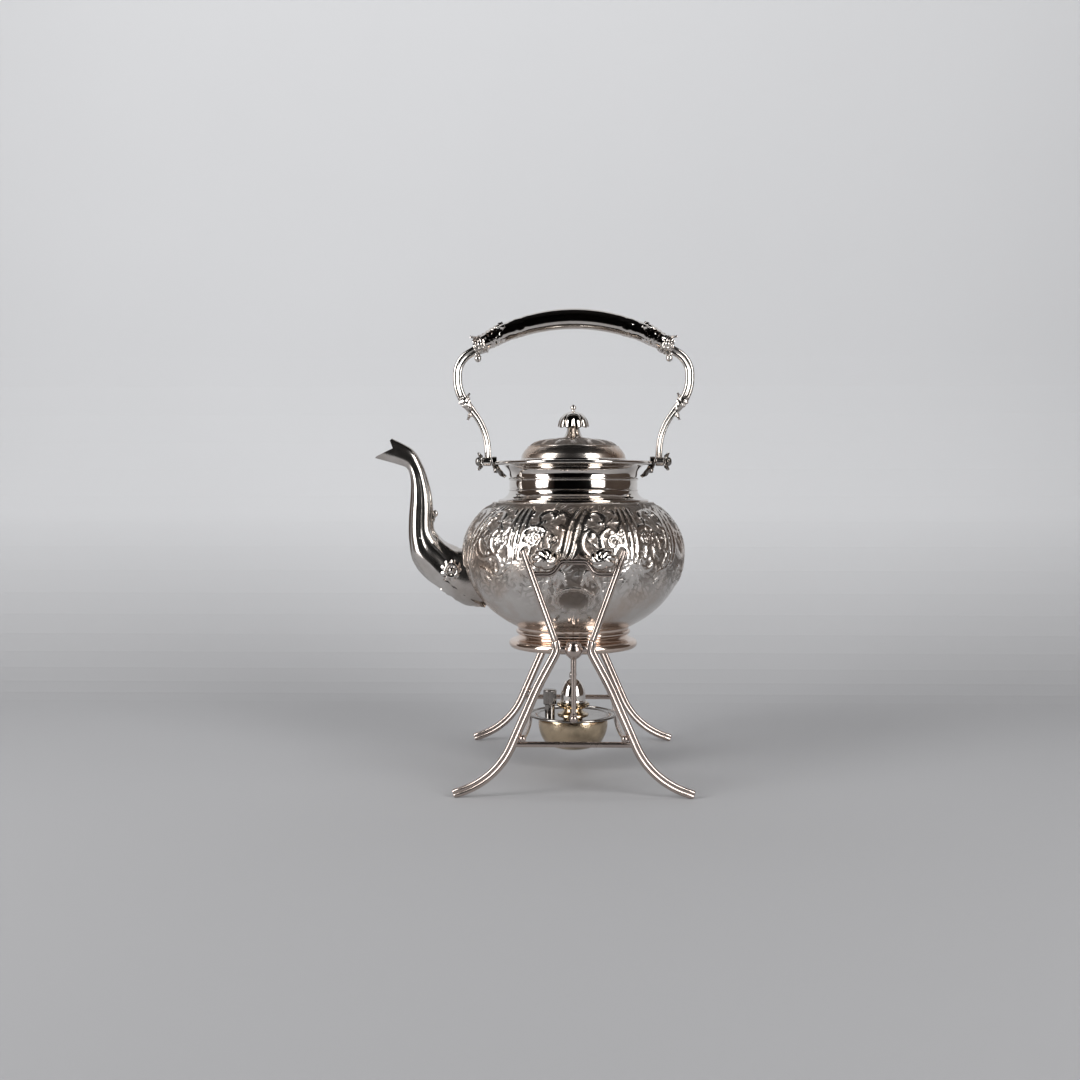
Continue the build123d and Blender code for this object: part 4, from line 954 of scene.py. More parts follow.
# ------------------------------------------------------------------ pieces
class KETTLE_OT_body(bpy.types.Operator):
    """Chased kettle body: swirling flutes, flowers and leaves over a plain lower part"""

    bl_idname = "kettle.body"
    bl_label = "Kettle Body"

    def execute(self, context):
        size = sizes()
        radius, level = size.belly_radius / MM, size.belly_level / MM
        depth, rise, shoulder, wall = 72.0, 59.5, 41.0, 1.4
        columns = 640
        # outline of the body from the bottom pole up to the shoulder
        lower = [math.radians(-90 + 66 * k / 30) for k in range(30)]
        side = [math.radians(-24 + 24 * k / 34) for k in range(34)]
        upper = [math.asin(shoulder / rise) * k / 62 for k in range(63)]
        angles = np.array(lower + side + upper)
        across = radius * np.cos(angles)
        across[0] = 0.02
        up = level + np.where(angles < 0, depth, rise) * np.sin(angles)
        steps = np.hypot(np.diff(across), np.diff(up))
        run = np.concatenate([[0], np.cumsum(steps)])
        run -= run[64]
        phi = np.linspace(0, 2 * math.pi, columns, endpoint=False)
        grid_phi, grid_t = np.meshgrid(phi, run)
        grid_r = np.repeat(across[:, None], columns, 1)
        relief = chasing(grid_phi, grid_t, grid_r, size.chase_repeats)
        fade = np.clip((grid_t + 44 + 6 * np.sin(grid_phi * 12)) / 22, 0, 1) * np.clip((51 - grid_t) / 2, 0, 1)
        engraved = fade * (0.25 + 0.75 * (1 - np.clip(relief * 2.2, 0, 1))) * np.clip((grid_t + 66) / 60, 0, 1)
        field = np.clip((grid_t + 24) / 17, 0, 1) * np.clip((52 - grid_t) / 2, 0, 1)
        for facing in (0.0, math.pi):
            aside = (np.mod(grid_phi - facing + math.pi, 2 * math.pi) - math.pi) * grid_r
            framed = np.clip(1.75 - np.hypot(aside / 1.15, grid_t + 29) / 14, 0, 1)
            field = np.maximum(field, framed * np.clip((52 - grid_t) / 2, 0, 1))
        ground = field * (1 - np.clip(relief * 3, 0, 1))
        lift = size.chase_depth / MM * (relief - 0.32 * field)
        lift += 0.05 * ground * hash_noise(grid_phi * 46, grid_t * 0.9)
        normal_r = np.cos(angles) / radius
        normal_z = np.sin(angles) / np.where(angles < 0, depth, rise)
        length = np.hypot(normal_r, normal_z)
        out_r = (normal_r / length)[:, None] * lift + grid_r
        out_z = (normal_z / length)[:, None] * lift + up[:, None]
        # inside of the body, from the shoulder's bore back to the bottom
        bore = 51.3
        inner_angles = np.array([math.asin((shoulder - wall) / (rise - wall)) * (1 - k / 8) for k in range(8)])
        inner_angles = np.concatenate([inner_angles, [math.radians(-90 * k / 10) for k in range(11)]])
        inner_r = (radius - wall) * np.cos(inner_angles)
        inner_r[-1] = 0.02
        inner_z = level + np.where(inner_angles < 0, depth - wall, rise - wall) * np.sin(inner_angles)
        inner_r = np.concatenate([[bore, bore], inner_r])
        inner_z = np.concatenate([[level + shoulder, level + shoulder - wall], inner_z])
        all_r = np.concatenate([out_r, np.repeat(inner_r[:, None], columns, 1)])
        all_z = np.concatenate([out_z, np.repeat(inner_z[:, None], columns, 1)])
        all_phi = np.repeat(phi[None, :], all_r.shape[0], 0)
        points = np.stack([all_r * np.sin(all_phi), -all_r * np.cos(all_phi), all_z], axis=2)
        pad = np.ones((inner_r.size, columns))
        obj = grid_mesh(
            "body",
            points.shape[0],
            columns,
            points,
            {
                "relief": np.concatenate([relief, pad]),
                "field": np.concatenate([field, pad * 0]),
                "engraved": np.concatenate([engraved, pad * 0]),
            },
        )
        dress(obj, "chased_body", "kettle", chased_silver(), ("body_shell",), angle=60)
        return {"FINISHED"}


class KETTLE_OT_mouldings(bpy.types.Operator):
    """Foot, neck, rim and mouth ring, turned with their beads and coves"""

    bl_idname = "kettle.mouldings"
    bl_label = "Foot and Neck"

    def execute(self, context):
        foot = outline(
            (42.2, 101.5),
            (50.5, 101.5),
            arc((53.5, 104.7), (51.3, 108.2)),
            (50.2, 108.6),
            arc((46.7, 110.2), (44.8, 113.0)),
            arc((47.7, 114.9), (46.2, 117.2)),
            arc((46.9, 119.6), (48.4, 121.2)),
            (47.9, 120.2),
            (42.2, 116.9),
            (42.2, 101.5),
        )
        obj = lathe(foot, 144, closed=True)
        # The foot's warm colour is a painted reflection of the room, not worn plate.
        dress(obj, "foot_moulding", "kettle", painted_reflection_silver(), ("foot_ring",), angle=30)
        neck = outline(
            (51.3, 222.0),
            (61.5, 222.0),
            arc((62.5, 223.3), (61.5, 224.6), 8),
            (59.8, 224.7),
            arc((56.4, 226.6), (54.0, 229.4)),
            (53.3, 231.4),
            arc((54.0, 232.0), (53.2, 232.6), 4),
            (53.0, 232.9),
            arc((53.25, 236.4), (53.0, 239.9), 6),
            arc((54.2, 241.2), (53.0, 242.4), 6),
            (52.9, 242.7),
            (53.6, 246.6),
            arc((56.6, 250.9), (63.4, 252.7), 12),
            (63.9, 252.9),
            arc((65.8, 254.5), (63.9, 256.0), 8),
            (62.6, 255.7),
            (62.3, 254.1),
            arc((54.9, 250.4), (51.3, 242.6), 8),
            (51.3, 222.0),
        )
        obj = lathe(neck, 160, closed=True)
        dress(obj, "neck_moulding", "kettle", silver(), ("neck",), angle=30)
        ring = outline((41.0, 254.1), (62.2, 254.1), (62.3, 255.5), (45.6, 255.6), (41.4, 255.6), (41.0, 255.3), (41.0, 254.1))
        obj = lathe(ring, 128, closed=True)
        dress(obj, "mouth_plate", "kettle", silver(), ("mouth_ring",), angle=30)
        return {"FINISHED"}


SPOUT_STATIONS = (
    (-24.0, -44.0, -8.0, 3.0, 19.0),
    (-3.0, -45.5, 1.5, 2.5, 18.5),
    (15.8, -33.7, 6.0, 3.5, 16.0),
    (30.0, -23.3, 14.8, 7.6, 14.2),
    (41.7, -9.5, 20.2, 13.0, 12.6),
    (45.2, 6.0, 24.0, 18.5, 10.8),
    (45.7, 24.0, 24.7, 25.0, 9.6),
    (44.0, 47.3, 25.5, 43.0, 8.8),
    (43.9, 60.0, 28.7, 58.0, 7.3),
    (46.5, 68.5, 33.8, 72.5, 6.1),
    (52.2, 71.7, 41.7, 84.8, 5.9),
    (73.3, 77.7, 59.0, 94.1, 5.4),
)


def spline_through(values, share):
    """Smooth value between evenly spaced ones."""
    last = len(values) - 1
    place_on = share * last
    i = min(int(place_on), last - 1)
    f = place_on - i
    p0, p1 = values[max(i - 1, 0)], values[i]
    p2, p3 = values[i + 1], values[min(i + 2, last)]
    return 0.5 * (
        2 * p1 + (p2 - p0) * f + (2 * p0 - 5 * p1 + 4 * p2 - p3) * f * f + (3 * p1 - p0 - 3 * p2 + p3) * f ** 3
    )


class KETTLE_OT_spout(bpy.types.Operator):
    """Fluted swan-neck spout with its beak, root leaves, bud and rosettes"""

    bl_idname = "kettle.spout"
    bl_label = "Spout"

    def execute(self, context):
        size = sizes()
        radius, level = size.belly_radius / MM, size.belly_level / MM
        rows, columns, panels = 96, 64, size.spout_panels
        columns_of = list(zip(*SPOUT_STATIONS))
        skins = []
        for wall in (0.0, 1.2):
            rings = []
            for row in range(rows + 1):
                share = row / rows
                lx, lz, hx, hz, half = (spline_through(values, share) for values in columns_of)
                low = Vector((-radius - lx, 0, level + lz))
                high = Vector((-radius - hx, 0, level + hz))
                centre, up = (low + high) / 2, (high - low) / 2
                flute = window(np.float64(share), 0.26, 0.86, 0.14)
                acanthus = window(np.float64(share), 0.12, 0.38, 0.06)
                ring = []
                for k in range(columns):
                    angle = 2 * math.pi * k / columns
                    c, s = math.cos(angle), math.sin(angle)
                    groove = 0.0
                    if not wall:
                        groove = -0.11 * flute * abs(math.sin(panels * angle / 2 + math.pi / 2)) ** 6
                        fold = math.cos(9 * angle + 1.2 * math.sin(26 * share))
                        groove += 0.035 * acanthus * fold
                    reach = 1 + groove
                    across = Vector((0, (half - wall) * c * reach, 0))
                    tall = up * ((up.length - wall) / up.length) * s * reach
                    ring.append(centre + across + tall)
                rings.append(ring)
            skins.append(rings)
        loops = skins[0] + skins[1][::-1]
        vertices = [tuple(point) for ring in loops for point in ring]
        faces = []
        total = len(loops)
        for ring in range(total):
            after = (ring + 1) % total
            for k in range(columns):
                j = (k + 1) % columns
                faces.append((ring * columns + k, ring * columns + j, after * columns + j, after * columns + k))
        spout = mesh_object("spout", vertices, faces)
        # the beak is cut open between its two lips, and the root is cut by the body
        lip = [(-149.8, 266.7), (-163.9, 260.1), (-172.0, 262.0), (-170.0, 290.0), (-152.7, 273.9)]
        wedge_vertices = [(x, y, z) for y in (-12, 12) for x, z in lip]
        wedge_faces = [tuple(range(5)), tuple(range(5, 10))] + [(k, (k + 1) % 5, 5 + (k + 1) % 5, 5 + k) for k in range(5)]
        wedge = mesh_object("wedge", wedge_vertices, wedge_faces)
        core = lathe(
            [(0.0, level - 71.8)]
            + [
                ((radius - 0.5) * math.cos(math.radians(a)), level + 71.6 * math.sin(math.radians(a)))
                for a in range(-84, 0, 6)
            ]
            + [
                ((radius - 0.5) * math.cos(math.radians(a)), level + 59.0 * math.sin(math.radians(a)))
                for a in range(0, 85, 6)
            ]
            + [(0.0, level + 59.0)],
            96,
        )
        for tool in (wedge, core):
            activate(spout)
            cut = spout.modifiers.new("Cut", "BOOLEAN")
            cut.object = tool
            cut.operation = "DIFFERENCE"
            cut.solver = "EXACT"
            bpy.ops.object.modifier_apply(modifier=cut.name)
            bpy.data.objects.remove(tool)
        parts = [spout]
        # leaves that clasp the root, and the bud on the throat
        clasp = leaf(40, 22, 2.4, -1.5, lobes=4, thick=1.6, ripple=0.35, columns=25)
        for flip in (1, -1):
            for origin, heading, face in (
                ((-107, 14.2, 159), (0.81, -0.13, -0.58), (-0.18, 0.93, -0.30)),
                ((-110, 6.5, 150.5), (0.88, -0.02, -0.38), (-0.30, 0.42, -0.86)),
            ):
                one = copy_of(clasp)
                matrix = frame_matrix(
                    (origin[0], origin[1] * flip, origin[2]),
                    (heading[0], heading[1] * flip, heading[2]),
                    (face[0], face[1] * flip, face[2]),
                )
                parts.append(place(one, matrix))
        bpy.data.objects.remove(clasp)
        bud = leaf(9, 5.5, 1.2, 1.6, lobes=2, thick=0.8)
        parts.append(place(bud, frame_matrix((-117.4, 0, 205.5), (0.12, 0, 1.0), (1, 0, 0.0))))
        parts.append(ball(2.3, (-115.2, 0, 212.5), (1.0, 0.9, 1.3), 16, 10))
        dress(join(parts), "spout_casting", "kettle", cast_silver(), ("spout",), angle=40)
        for name, side in FRAMES:
            rosette = flower(9.2, 9, 2.2, 0.6)
            place(rosette, frame_matrix((-100.0, side * 17.2, 166.1), (1, 0, 0), (0, side, 0)))
            bead = ball(2.7, (-100.0, side * 18.9, 166.1), (1, 0.8, 1), 24, 14)
            collar = lathe(outline((3.6, -1.6), (6.4, -1.6), (6.5, 1.2), arc((5.2, 2.9), (3.8, 2.0), 8), (3.6, -1.6)), 48, closed=True)
            place(collar, frame_matrix((-100.0, side * 17.0, 166.1), (1, 0, 0), (0, side, 0)))
            dress(
                join([rosette, bead, collar]), f"spout_flower_{name}", "kettle", silver(), (f"spout_rosette_{name}",)
            )
        return {"FINISHED"}


def gadrooned_ball(half_width, half_height, lobes=8, twist=1.5, centre=0.3):
    """Oblate ball with bold gadroons that swirl in to an eye on its Y axis."""
    obj = ball(1.0, (0, 0, 0), (1, 1, 1), 128, 64)
    for vertex in obj.data.vertices:
        n = vertex.co / MM
        x, z = n.x - centre * (1 - abs(n.y)), n.z
        angle = math.atan2(z, x)
        reach = math.hypot(x, z)
        wave = abs(math.cos(lobes / 2 * angle + twist * lobes / 2 * (1 - reach)))
        grow = 1 - 0.13 * (1 - wave) ** 1.3 * min(1.0, reach * 2.0)
        vertex.co = Vector((n.x * half_width * grow, n.y * half_height * grow, n.z * half_height * grow)) * MM
    return obj


class KETTLE_OT_lugs(bpy.types.Operator):
    """Swirled ball lugs that hang in the cradle bars"""

    bl_idname = "kettle.lugs"
    bl_label = "Ball Lugs"

    def execute(self, context):
        half = sizes().frame_spacing / 2 / MM
        for name, side in FRAMES:
            for x, node, body in ((-21.8, "spout_lug", "spout_lugs"), (21.8, "back_lug", "kettle")):
                lug = gadrooned_ball(10.5, 8.7, 6, 1.1 if x < 0 else -1.1, -0.32 if x < 0 else 0.32)
                place(lug, Matrix.Translation((x, side * half, 180.75)))
                low = 91.9 if x < 0 else 89.4
                stem = lathe(
                    outline((0, low), (4.4, low), arc((3.7, (low + 96) / 2), (4.4, 96.5), 6), (4.4, 98.0), (0, 98.0)), 40
                )
                place(stem, frame_matrix((x, 0, 180.75), (1, 0, 0), (0, side, 0)))
                parts = [lug, stem]
                rivet = lathe(outline((0, half + 7.0), (2.4, half + 7.0), arc((1.7, half + 8.2), (0, half + 8.6), 6)), 24)
                place(rivet, frame_matrix((x, 0, 180.75), (1, 0, 0), (0, side, 0)))
                parts.append(rivet)
                if x < 0:
                    pivot = lathe(outline((0, 90.1), (2.5, 90.1), (2.5, 92.2), (0, 92.2)), 32)
                    parts.append(place(pivot, frame_matrix((x, 0, 180.75), (1, 0, 0), (0, side, 0))))
                else:
                    pad = lathe(
                        outline((0, 88.4), (8.0, 87.6), (8.0, 91.0), arc((7.6, 91.6), (6.8, 91.6), 3), (0, 91.6)), 48
                    )
                    parts.append(place(pad, frame_matrix((x, 0, 180.75), (1, 0, 0), (0, side, 0))))
                dress(join(parts), f"{node}_ball_{name}", body, silver(), (f"{node}_{name}",), angle=45)
            settle(f"lug_pad_{name}", dark_silver())
        return {"FINISHED"}


class KETTLE_OT_lid(bpy.types.Operator):
    """Bun-shaped lid with its engraved band, bezel, hinge and umbrella finial"""

    bl_idname = "kettle.lid"
    bl_label = "Lid"

    def execute(self, context):
        base, tall, radius, wall = 257.95, 17.2, 43.4, 1.2
        shape_r = (1.0, 0.975, 0.876, 0.703, 0.37, 0.0)
        shape_z = (0.0, 0.24, 0.55, 0.83, 0.97, 1.0)
        rows, columns = 72, 288
        share = np.linspace(0, 1, rows)
        outer_r = np.array([radius * spline_through(shape_r, q) for q in share])
        outer_z = np.array([base + tall * spline_through(shape_z, q) for q in share])
        outer_r = np.clip(outer_r, 0.02, radius)
        outer_r[-1] = 0.02
        steps = np.hypot(np.diff(outer_r), np.diff(outer_z))
        run = np.concatenate([[0], np.cumsum(steps)])
        phi = np.linspace(0, 2 * math.pi, columns, endpoint=False)
        grid_phi, grid_t = np.meshgrid(phi, run)
        grid_r = np.repeat(outer_r[:, None], columns, 1)
        relief = np.zeros_like(grid_phi)
        for k in range(16):
            a = 2 * math.pi * k / 16
            s = (np.mod(grid_phi - a + math.pi, 2 * math.pi) - math.pi) * grid_r
            v = grid_t - 24
            relief = np.maximum(relief, 0.9 * chased_leaf(s, v + 7, 78 if k % 2 else 102, 15, 2.8))
            relief = np.maximum(relief, chased_scroll(s - 3.4, v - 1.0, 2.7, 0.8, 40, 250))
            relief = np.maximum(relief, 0.8 * chased_flower(s, v + 7.5, 2.5, 5))
        band = window(grid_t, 12.5, 36.5, 1.6)
        relief = relief * band
        border = np.maximum(ridge(grid_t - 12.0, 0.8), ridge(grid_t - 37.0, 0.8))
        relief = np.maximum(relief, border)
        lift = 0.55 * relief - 0.2 * band
        lift += 0.14 * band * (1 - relief) * hash_noise(grid_phi * 34, grid_t * 2.1)
        slope_r = np.gradient(outer_r)
        slope_z = np.gradient(outer_z)
        length = np.hypot(slope_r, slope_z)
        out_r = grid_r + (slope_z / length)[:, None] * lift
        out_z = outer_z[:, None] - (slope_r / length)[:, None] * lift
        out_r[-1] = 0.02
        inner_share = np.linspace(1, 0, 16)
        inner_r = np.array([(radius - wall) * spline_through(shape_r, q) for q in inner_share])
        inner_z = np.array([base + (tall - wall) * spline_through(shape_z, q) for q in inner_share])
        inner_r = np.clip(inner_r, 0.02, radius)
        inner_r[0] = 0.02
        inner_r = np.concatenate([inner_r, [radius]])
        inner_z = np.concatenate([inner_z, [base]])
        all_r = np.concatenate([out_r, np.repeat(inner_r[:, None], columns, 1)])
        all_z = np.concatenate([out_z, np.repeat(inner_z[:, None], columns, 1)])
        all_phi = np.repeat(phi[None, :], all_r.shape[0], 0)
        points = np.stack([all_r * np.sin(all_phi), -all_r * np.cos(all_phi), all_z], axis=2)
        pad = np.ones((inner_r.size, columns))
        dome = grid_mesh(
            "dome",
            points.shape[0],
            columns,
            points,
            {
                "relief": np.concatenate([relief, pad]),
                "field": np.concatenate([band, pad * 0]),
                "engraved": np.concatenate([band * (1 - np.clip(relief * 2, 0, 1)), pad * 0]),
            },
        )
        dress(dome, "lid_bun", "lid", chased_silver(), ("lid_dome",), angle=50)
        bezel = outline(
            (38.7, 247.95),
            (39.9, 247.95),
            (39.9, 255.95),
            (43.9, 255.95),
            arc((44.5, 256.6), (44.0, 257.5), 6),
            (43.5, 257.95),
            (38.7, 257.95),
            (38.7, 247.95),
        )
        dress(lathe(bezel, 144, closed=True), "lid_rim", "lid", silver(), ("lid_bezel",), angle=30)
        settle("hinge_leaf_lid", silver())
        settle("hinge_leaf_neck", silver())
        settle("hinge_pin", turned_steel())
        settle("finial_nut", turned_steel())
        self.finial()
        return {"FINISHED"}

    def finial(self):
        stem = lathe(
            outline(
                (0, 274.3),
                (8.4, 274.3),
                arc((8.9, 275.3), (8.0, 276.1), 5),
                arc((5.7, 280.5), (4.5, 286.6), 10),
                (0, 286.7),
            ),
            64,
        )
        for vertex in stem.data.vertices:
            co = vertex.co / MM
            angle = math.atan2(co.y, co.x)
            share = min(1.0, max(0.0, (co.z - 276.4) / 2.0))
            grow = 1 - 0.10 * share * abs(math.sin(4 * angle)) ** 3
            vertex.co.x *= grow
            vertex.co.y *= grow
        dress(stem, "finial_neck", "lid", silver(), ("finial_stem",), angle=45)
        lobes, columns = sizes().cap_lobes, 160
        base, tall, reach = 284.15, 13.0, 13.0
        rings = []
        for row in range(22):
            q = row / 21
            angle = q * math.pi / 2
            rings.append((reach * math.cos(angle) ** 0.9 if row < 21 else 0.02, base + tall * math.sin(angle), 1 - q))
        under = [(0.02, 286.75, 0.0), (4.4, 286.75, 0.0), (8.1, 287.6, 0.3), (10.9, 285.8, 0.8), (12.1, 284.3, 1.0)]
        vertices, faces = [], []
        profile = under + rings
        for r, z, weight in profile:
            for k in range(columns):
                phi = 2 * math.pi * k / columns
                lobe = abs(math.cos(lobes / 2 * phi))
                edge = max(0.0, weight)
                grow = 1 - 0.10 * edge * (1 - lobe) ** 2 + 0.0
                dip = 1.1 * edge ** 4 * (1 - lobe)
                rib = 0.35 * (1 - (1 - lobe) ** 0.6) * min(1.0, r / 5)
                vertices.append(((r * grow + rib * 0.3) * math.cos(phi), (r * grow + rib * 0.3) * math.sin(phi), z + dip))
        for ring in range(len(profile) - 1):
            for k in range(columns):
                j = (k + 1) % columns
                a, b = ring * columns, (ring + 1) * columns
                faces.append((a + k, a + j, b + j, b + k))
        cap = mesh_object("cap", vertices, faces)
        dress(cap, "finial_umbrella", "lid", silver(), ("finial_cap",), angle=50)
        bud = lathe(
            outline(
                (0, 297.0),
                (1.9, 297.0),
                arc((1.3, 298.2), (1.7, 298.9), 4),
                arc((2.6, 300.3), (1.5, 301.9), 8),
                arc((0.9, 302.6), (0.0, 302.95), 4),
            ),
            40,
        )
        dress(bud, "finial_bud", "lid", silver(), ("finial_button",), angle=45)


class KETTLE_OT_handle(bpy.types.Operator):
    """Bail handle: hollow grip, leafy collars, reeded arms, flower nuts and brackets"""

    bl_idname = "kettle.handle"
    bl_label = "Bail Handle"

    def execute(self, context):
        pivot, arc_radius, half_span = 255.8, 148.0, 74.0
        centre = pivot + 117.7 - arc_radius
        top_angle = math.asin(half_span / arc_radius)
        columns, rows = 48, 96
        vertices, faces = [], []
        rings = []
        for row in range(rows + 1):
            share = 2 * row / rows - 1
            rings.append((share, 8.5 - 1.6 * share ** 2, True))
        for row in range(rows, -1, -4):
            share = 2 * row / rows - 1
            rings.append((share, 4.6, False))
        for share, radius, outer in rings:
            angle = top_angle * share
            middle = Vector((arc_radius * math.sin(angle), 0, centre + arc_radius * math.cos(angle)))
            out = Vector((math.sin(angle), 0, math.cos(angle)))
            for k in range(columns):
                turn = 2 * math.pi * k / columns
                grow = 1.0
                if outer:
                    near_end = abs(share)
                    leaves = window(np.float64(near_end), 0.42, 1.2, 0.10)
                    veil = math.sin(4 * turn + 5 * math.sin(24 * near_end)) * math.cos(46 * near_end + 2 * math.sin(3 * turn))
                    grow += 0.035 * leaves * veil
                    for band in (0.60, 0.635):
                        grow += 0.045 * math.exp(-(((near_end - band) / 0.006) ** 2))
                    grow -= 0.035 * math.exp(-(((near_end - 0.617) / 0.008) ** 2))
                vertices.append(
                    tuple(middle + out * (radius * grow * math.sin(turn)) + Vector((0, radius * grow * math.cos(turn), 0)))
                )
        total = len(rings)
        for ring in range(total):
            after = (ring + 1) % total
            for k in range(columns):
                j = (k + 1) % columns
                faces.append((ring * columns + k, ring * columns + j, after * columns + j, after * columns + k))
        grip = mesh_object("grip", vertices, faces)
        parts = [grip]
        blade = leaf(20, 8.5, 0.6, 0.0, lobes=5, thick=0.8)
        for side in (-1, 1):
            angle = side * (top_angle - 0.012)
            end = Vector((arc_radius * math.sin(angle), 0, centre + arc_radius * math.cos(angle)))
            out = Vector((math.sin(angle), 0, math.cos(angle)))
            along = Vector((-math.cos(angle) * side, 0, math.sin(angle) * side))
            for k in range(5):
                turn = 2 * math.pi * (k + 0.25) / 5
                normal = out * math.sin(turn) + Vector((0, math.cos(turn), 0))
                origin = end + normal * 6.9
                lean = along + normal * 0.045
                parts.append(place(copy_of(blade), frame_matrix(origin, lean, normal)))
        bpy.data.objects.remove(blade)
        dress(join(parts), "grip_tube", "handle", silver(), ("grip",), angle=40)
        self.collars(top_angle, arc_radius, centre)
        self.arms(pivot)
        self.pivots(pivot)
        return {"FINISHED"}

    def collars(self, top_angle, arc_radius, centre):
        blade = leaf(8.5, 6.0, 0.9, 0.5, lobes=3, thick=0.8)
        for name, side in SIDES:
            end = Vector((side * arc_radius * math.sin(top_angle), 0, centre + arc_radius * math.cos(top_angle)))
            out = Vector((side * math.cos(top_angle), 0, -math.sin(top_angle)))
            cup = lathe(
                outline(
                    (0, -6.0),
                    (4.25, -6.0),
                    (4.25, -0.2),
                    (7.2, 0.0),
                    arc((8.3, 1.3), (7.2, 2.4), 6),
                    (6.2, 2.8),
                    arc((7.3, 4.0), (6.4, 5.0), 6),
                    (5.0, 5.6),
                    (4.5, 8.8),
                    (0, 8.8),
                ),
                48,
            )
            matrix = frame_matrix(end, (0, 1, 0), out)
            place(cup, matrix)
            parts = [cup]
            for face in (-1, 1):
                middle = end + out * 3.6 + Vector((0, face * 6.4, 0))
                blossom = flower(5.2, 7, 2.2, 1.2)
                parts.append(place(blossom, frame_matrix(middle, out, (0, face, 0))))
                parts.append(ball(2.4, middle + Vector((0, face * 1.4, 0)), (1, 0.8, 1), 20, 12))
            for k in range(5):
                turn = 2 * math.pi * (k + 0.25) / 5
                normal = Vector((0, math.cos(turn), 0)) + Vector((out.z, 0, -out.x)) * math.sin(turn)
                origin = end - out * 1.0 + normal * 6.4
                parts.append(place(copy_of(blade), frame_matrix(origin, out - normal * 0.12, normal)))
            bud_at = end + Vector((side * 5.2, 0, -12.6))
            parts.append(ball(2.9, bud_at, (1.0, 0.95, 1.05), 20, 12))
            neck = [end + out * 4 + Vector((0, 0, -4)), bud_at + Vector((side * 1.5, 0, 5.5)), bud_at + Vector((0, 0, 1.0))]
            parts.append(sweep("bud_neck", neck, round_section(1.9, 12)))
            hook = leaf(7.5, 4.6, 0.9, 1.0, lobes=2, thick=0.8)
            parts.append(place(hook, frame_matrix(bud_at + Vector((side * 2.6, 0, 7.5)), (-side * 0.45, 0, -0.85), (side * -0.9, 0, 0.4))))
            spur = leaf(6.5, 5.0, 0.8, 1.2, lobes=2, thick=0.9)
            upward = Vector((-out.z, 0, out.x)) * side
            parts.append(place(spur, frame_matrix(end + out * 2 + upward * 6.2, out * 0.7 + upward * 0.35, upward)))
            dress(join(parts), f"collar_leaves_{name}", "handle", cast_silver(), (f"collar_{name}",), angle=45)
        bpy.data.objects.remove(blade)

    def arms(self, pivot):
        points = [(80.6, pivot + 92.7), (96.2, pivot + 83.7), (96.2, pivot + 56.7), (72.0, pivot + 27.2), (70.8, pivot + 2.2)]
        path = rounded_path(points, [20.4, 33.0, 50.0], 1.6)
        lengths = [0.0]
        for a, b in zip(path, path[1:]):
            lengths.append(lengths[-1] + (b - a).length)
        for name, side in SIDES:
            scale = []
            for run in lengths:
                share = min(1.0, max(0.0, (run / lengths[-1] - 0.52) / 0.12))
                scale.append(1.0 - 0.26 * share * share * (3 - 2 * share))
            line = [(side * p.x, 0, p.y) for p in path]
            bar = sweep("arm", line, reeds(2.15, 3.3, 10), scale=scale)
            parts = [bar]
            along = Vector((-0.634, 0, -0.773))
            square = Vector((0.773, 0, -0.634))
            change = Vector((86.7, 0, 300.9))
            for step, sign, lean in ((-6.5, -1, 0.75), (5.0, 1, 0.75)):
                bud = leaf(5.6, 4.4, 0.8, 0.9, lobes=2, thick=0.9)
                origin = change + along * step + square * sign * 2.2
                heading = along * (0.55 if sign > 0 else 0.6) + square * sign * lean
                if sign < 0:
                    heading = -along * 0.15 + square * sign
                heading = Vector((heading.x * side, 0, heading.z))
                face = Vector((-heading.z, 0, heading.x)) * (1 if sign * side > 0 else -1)
                parts.append(place(bud, frame_matrix((origin.x * side, 0, origin.z), heading, face)))
                tip = change + along * (step + 0.6) + square * sign * 3.6
                parts.append(ball(2.0, (tip.x * side, 0, tip.z), (1, 0.9, 1), 14, 9))
            wrap = leaf(15, 7.5, 0.5, 0.4, lobes=4, thick=0.7)
            for front in (-1, 1):
                start = change - along * 11
                parts.append(
                    place(
                        copy_of(wrap),
                        frame_matrix((start.x * side, front * 1.7, start.z), (along.x * side, 0, along.z), (0, front, 0)),
                    )
                )
            bpy.data.objects.remove(wrap)
            eye = lathe(
                outline((1.55, 68.3), (3.3, 68.3), arc((3.75, 68.7), (3.75, 69.2), 3), (3.75, 74.0), arc((3.7, 74.6), (3.3, 74.9), 3), (1.55, 74.9), (1.55, 68.3)),
                32,
                closed=True,
            )
            parts.append(place(eye, frame_matrix((0, 0, pivot), (0, 1, 0), (side, 0, 0))))
            dress(join(parts), f"arm_reeded_{name}", "handle", cast_silver(), (f"handle_arm_{name}",), angle=42)

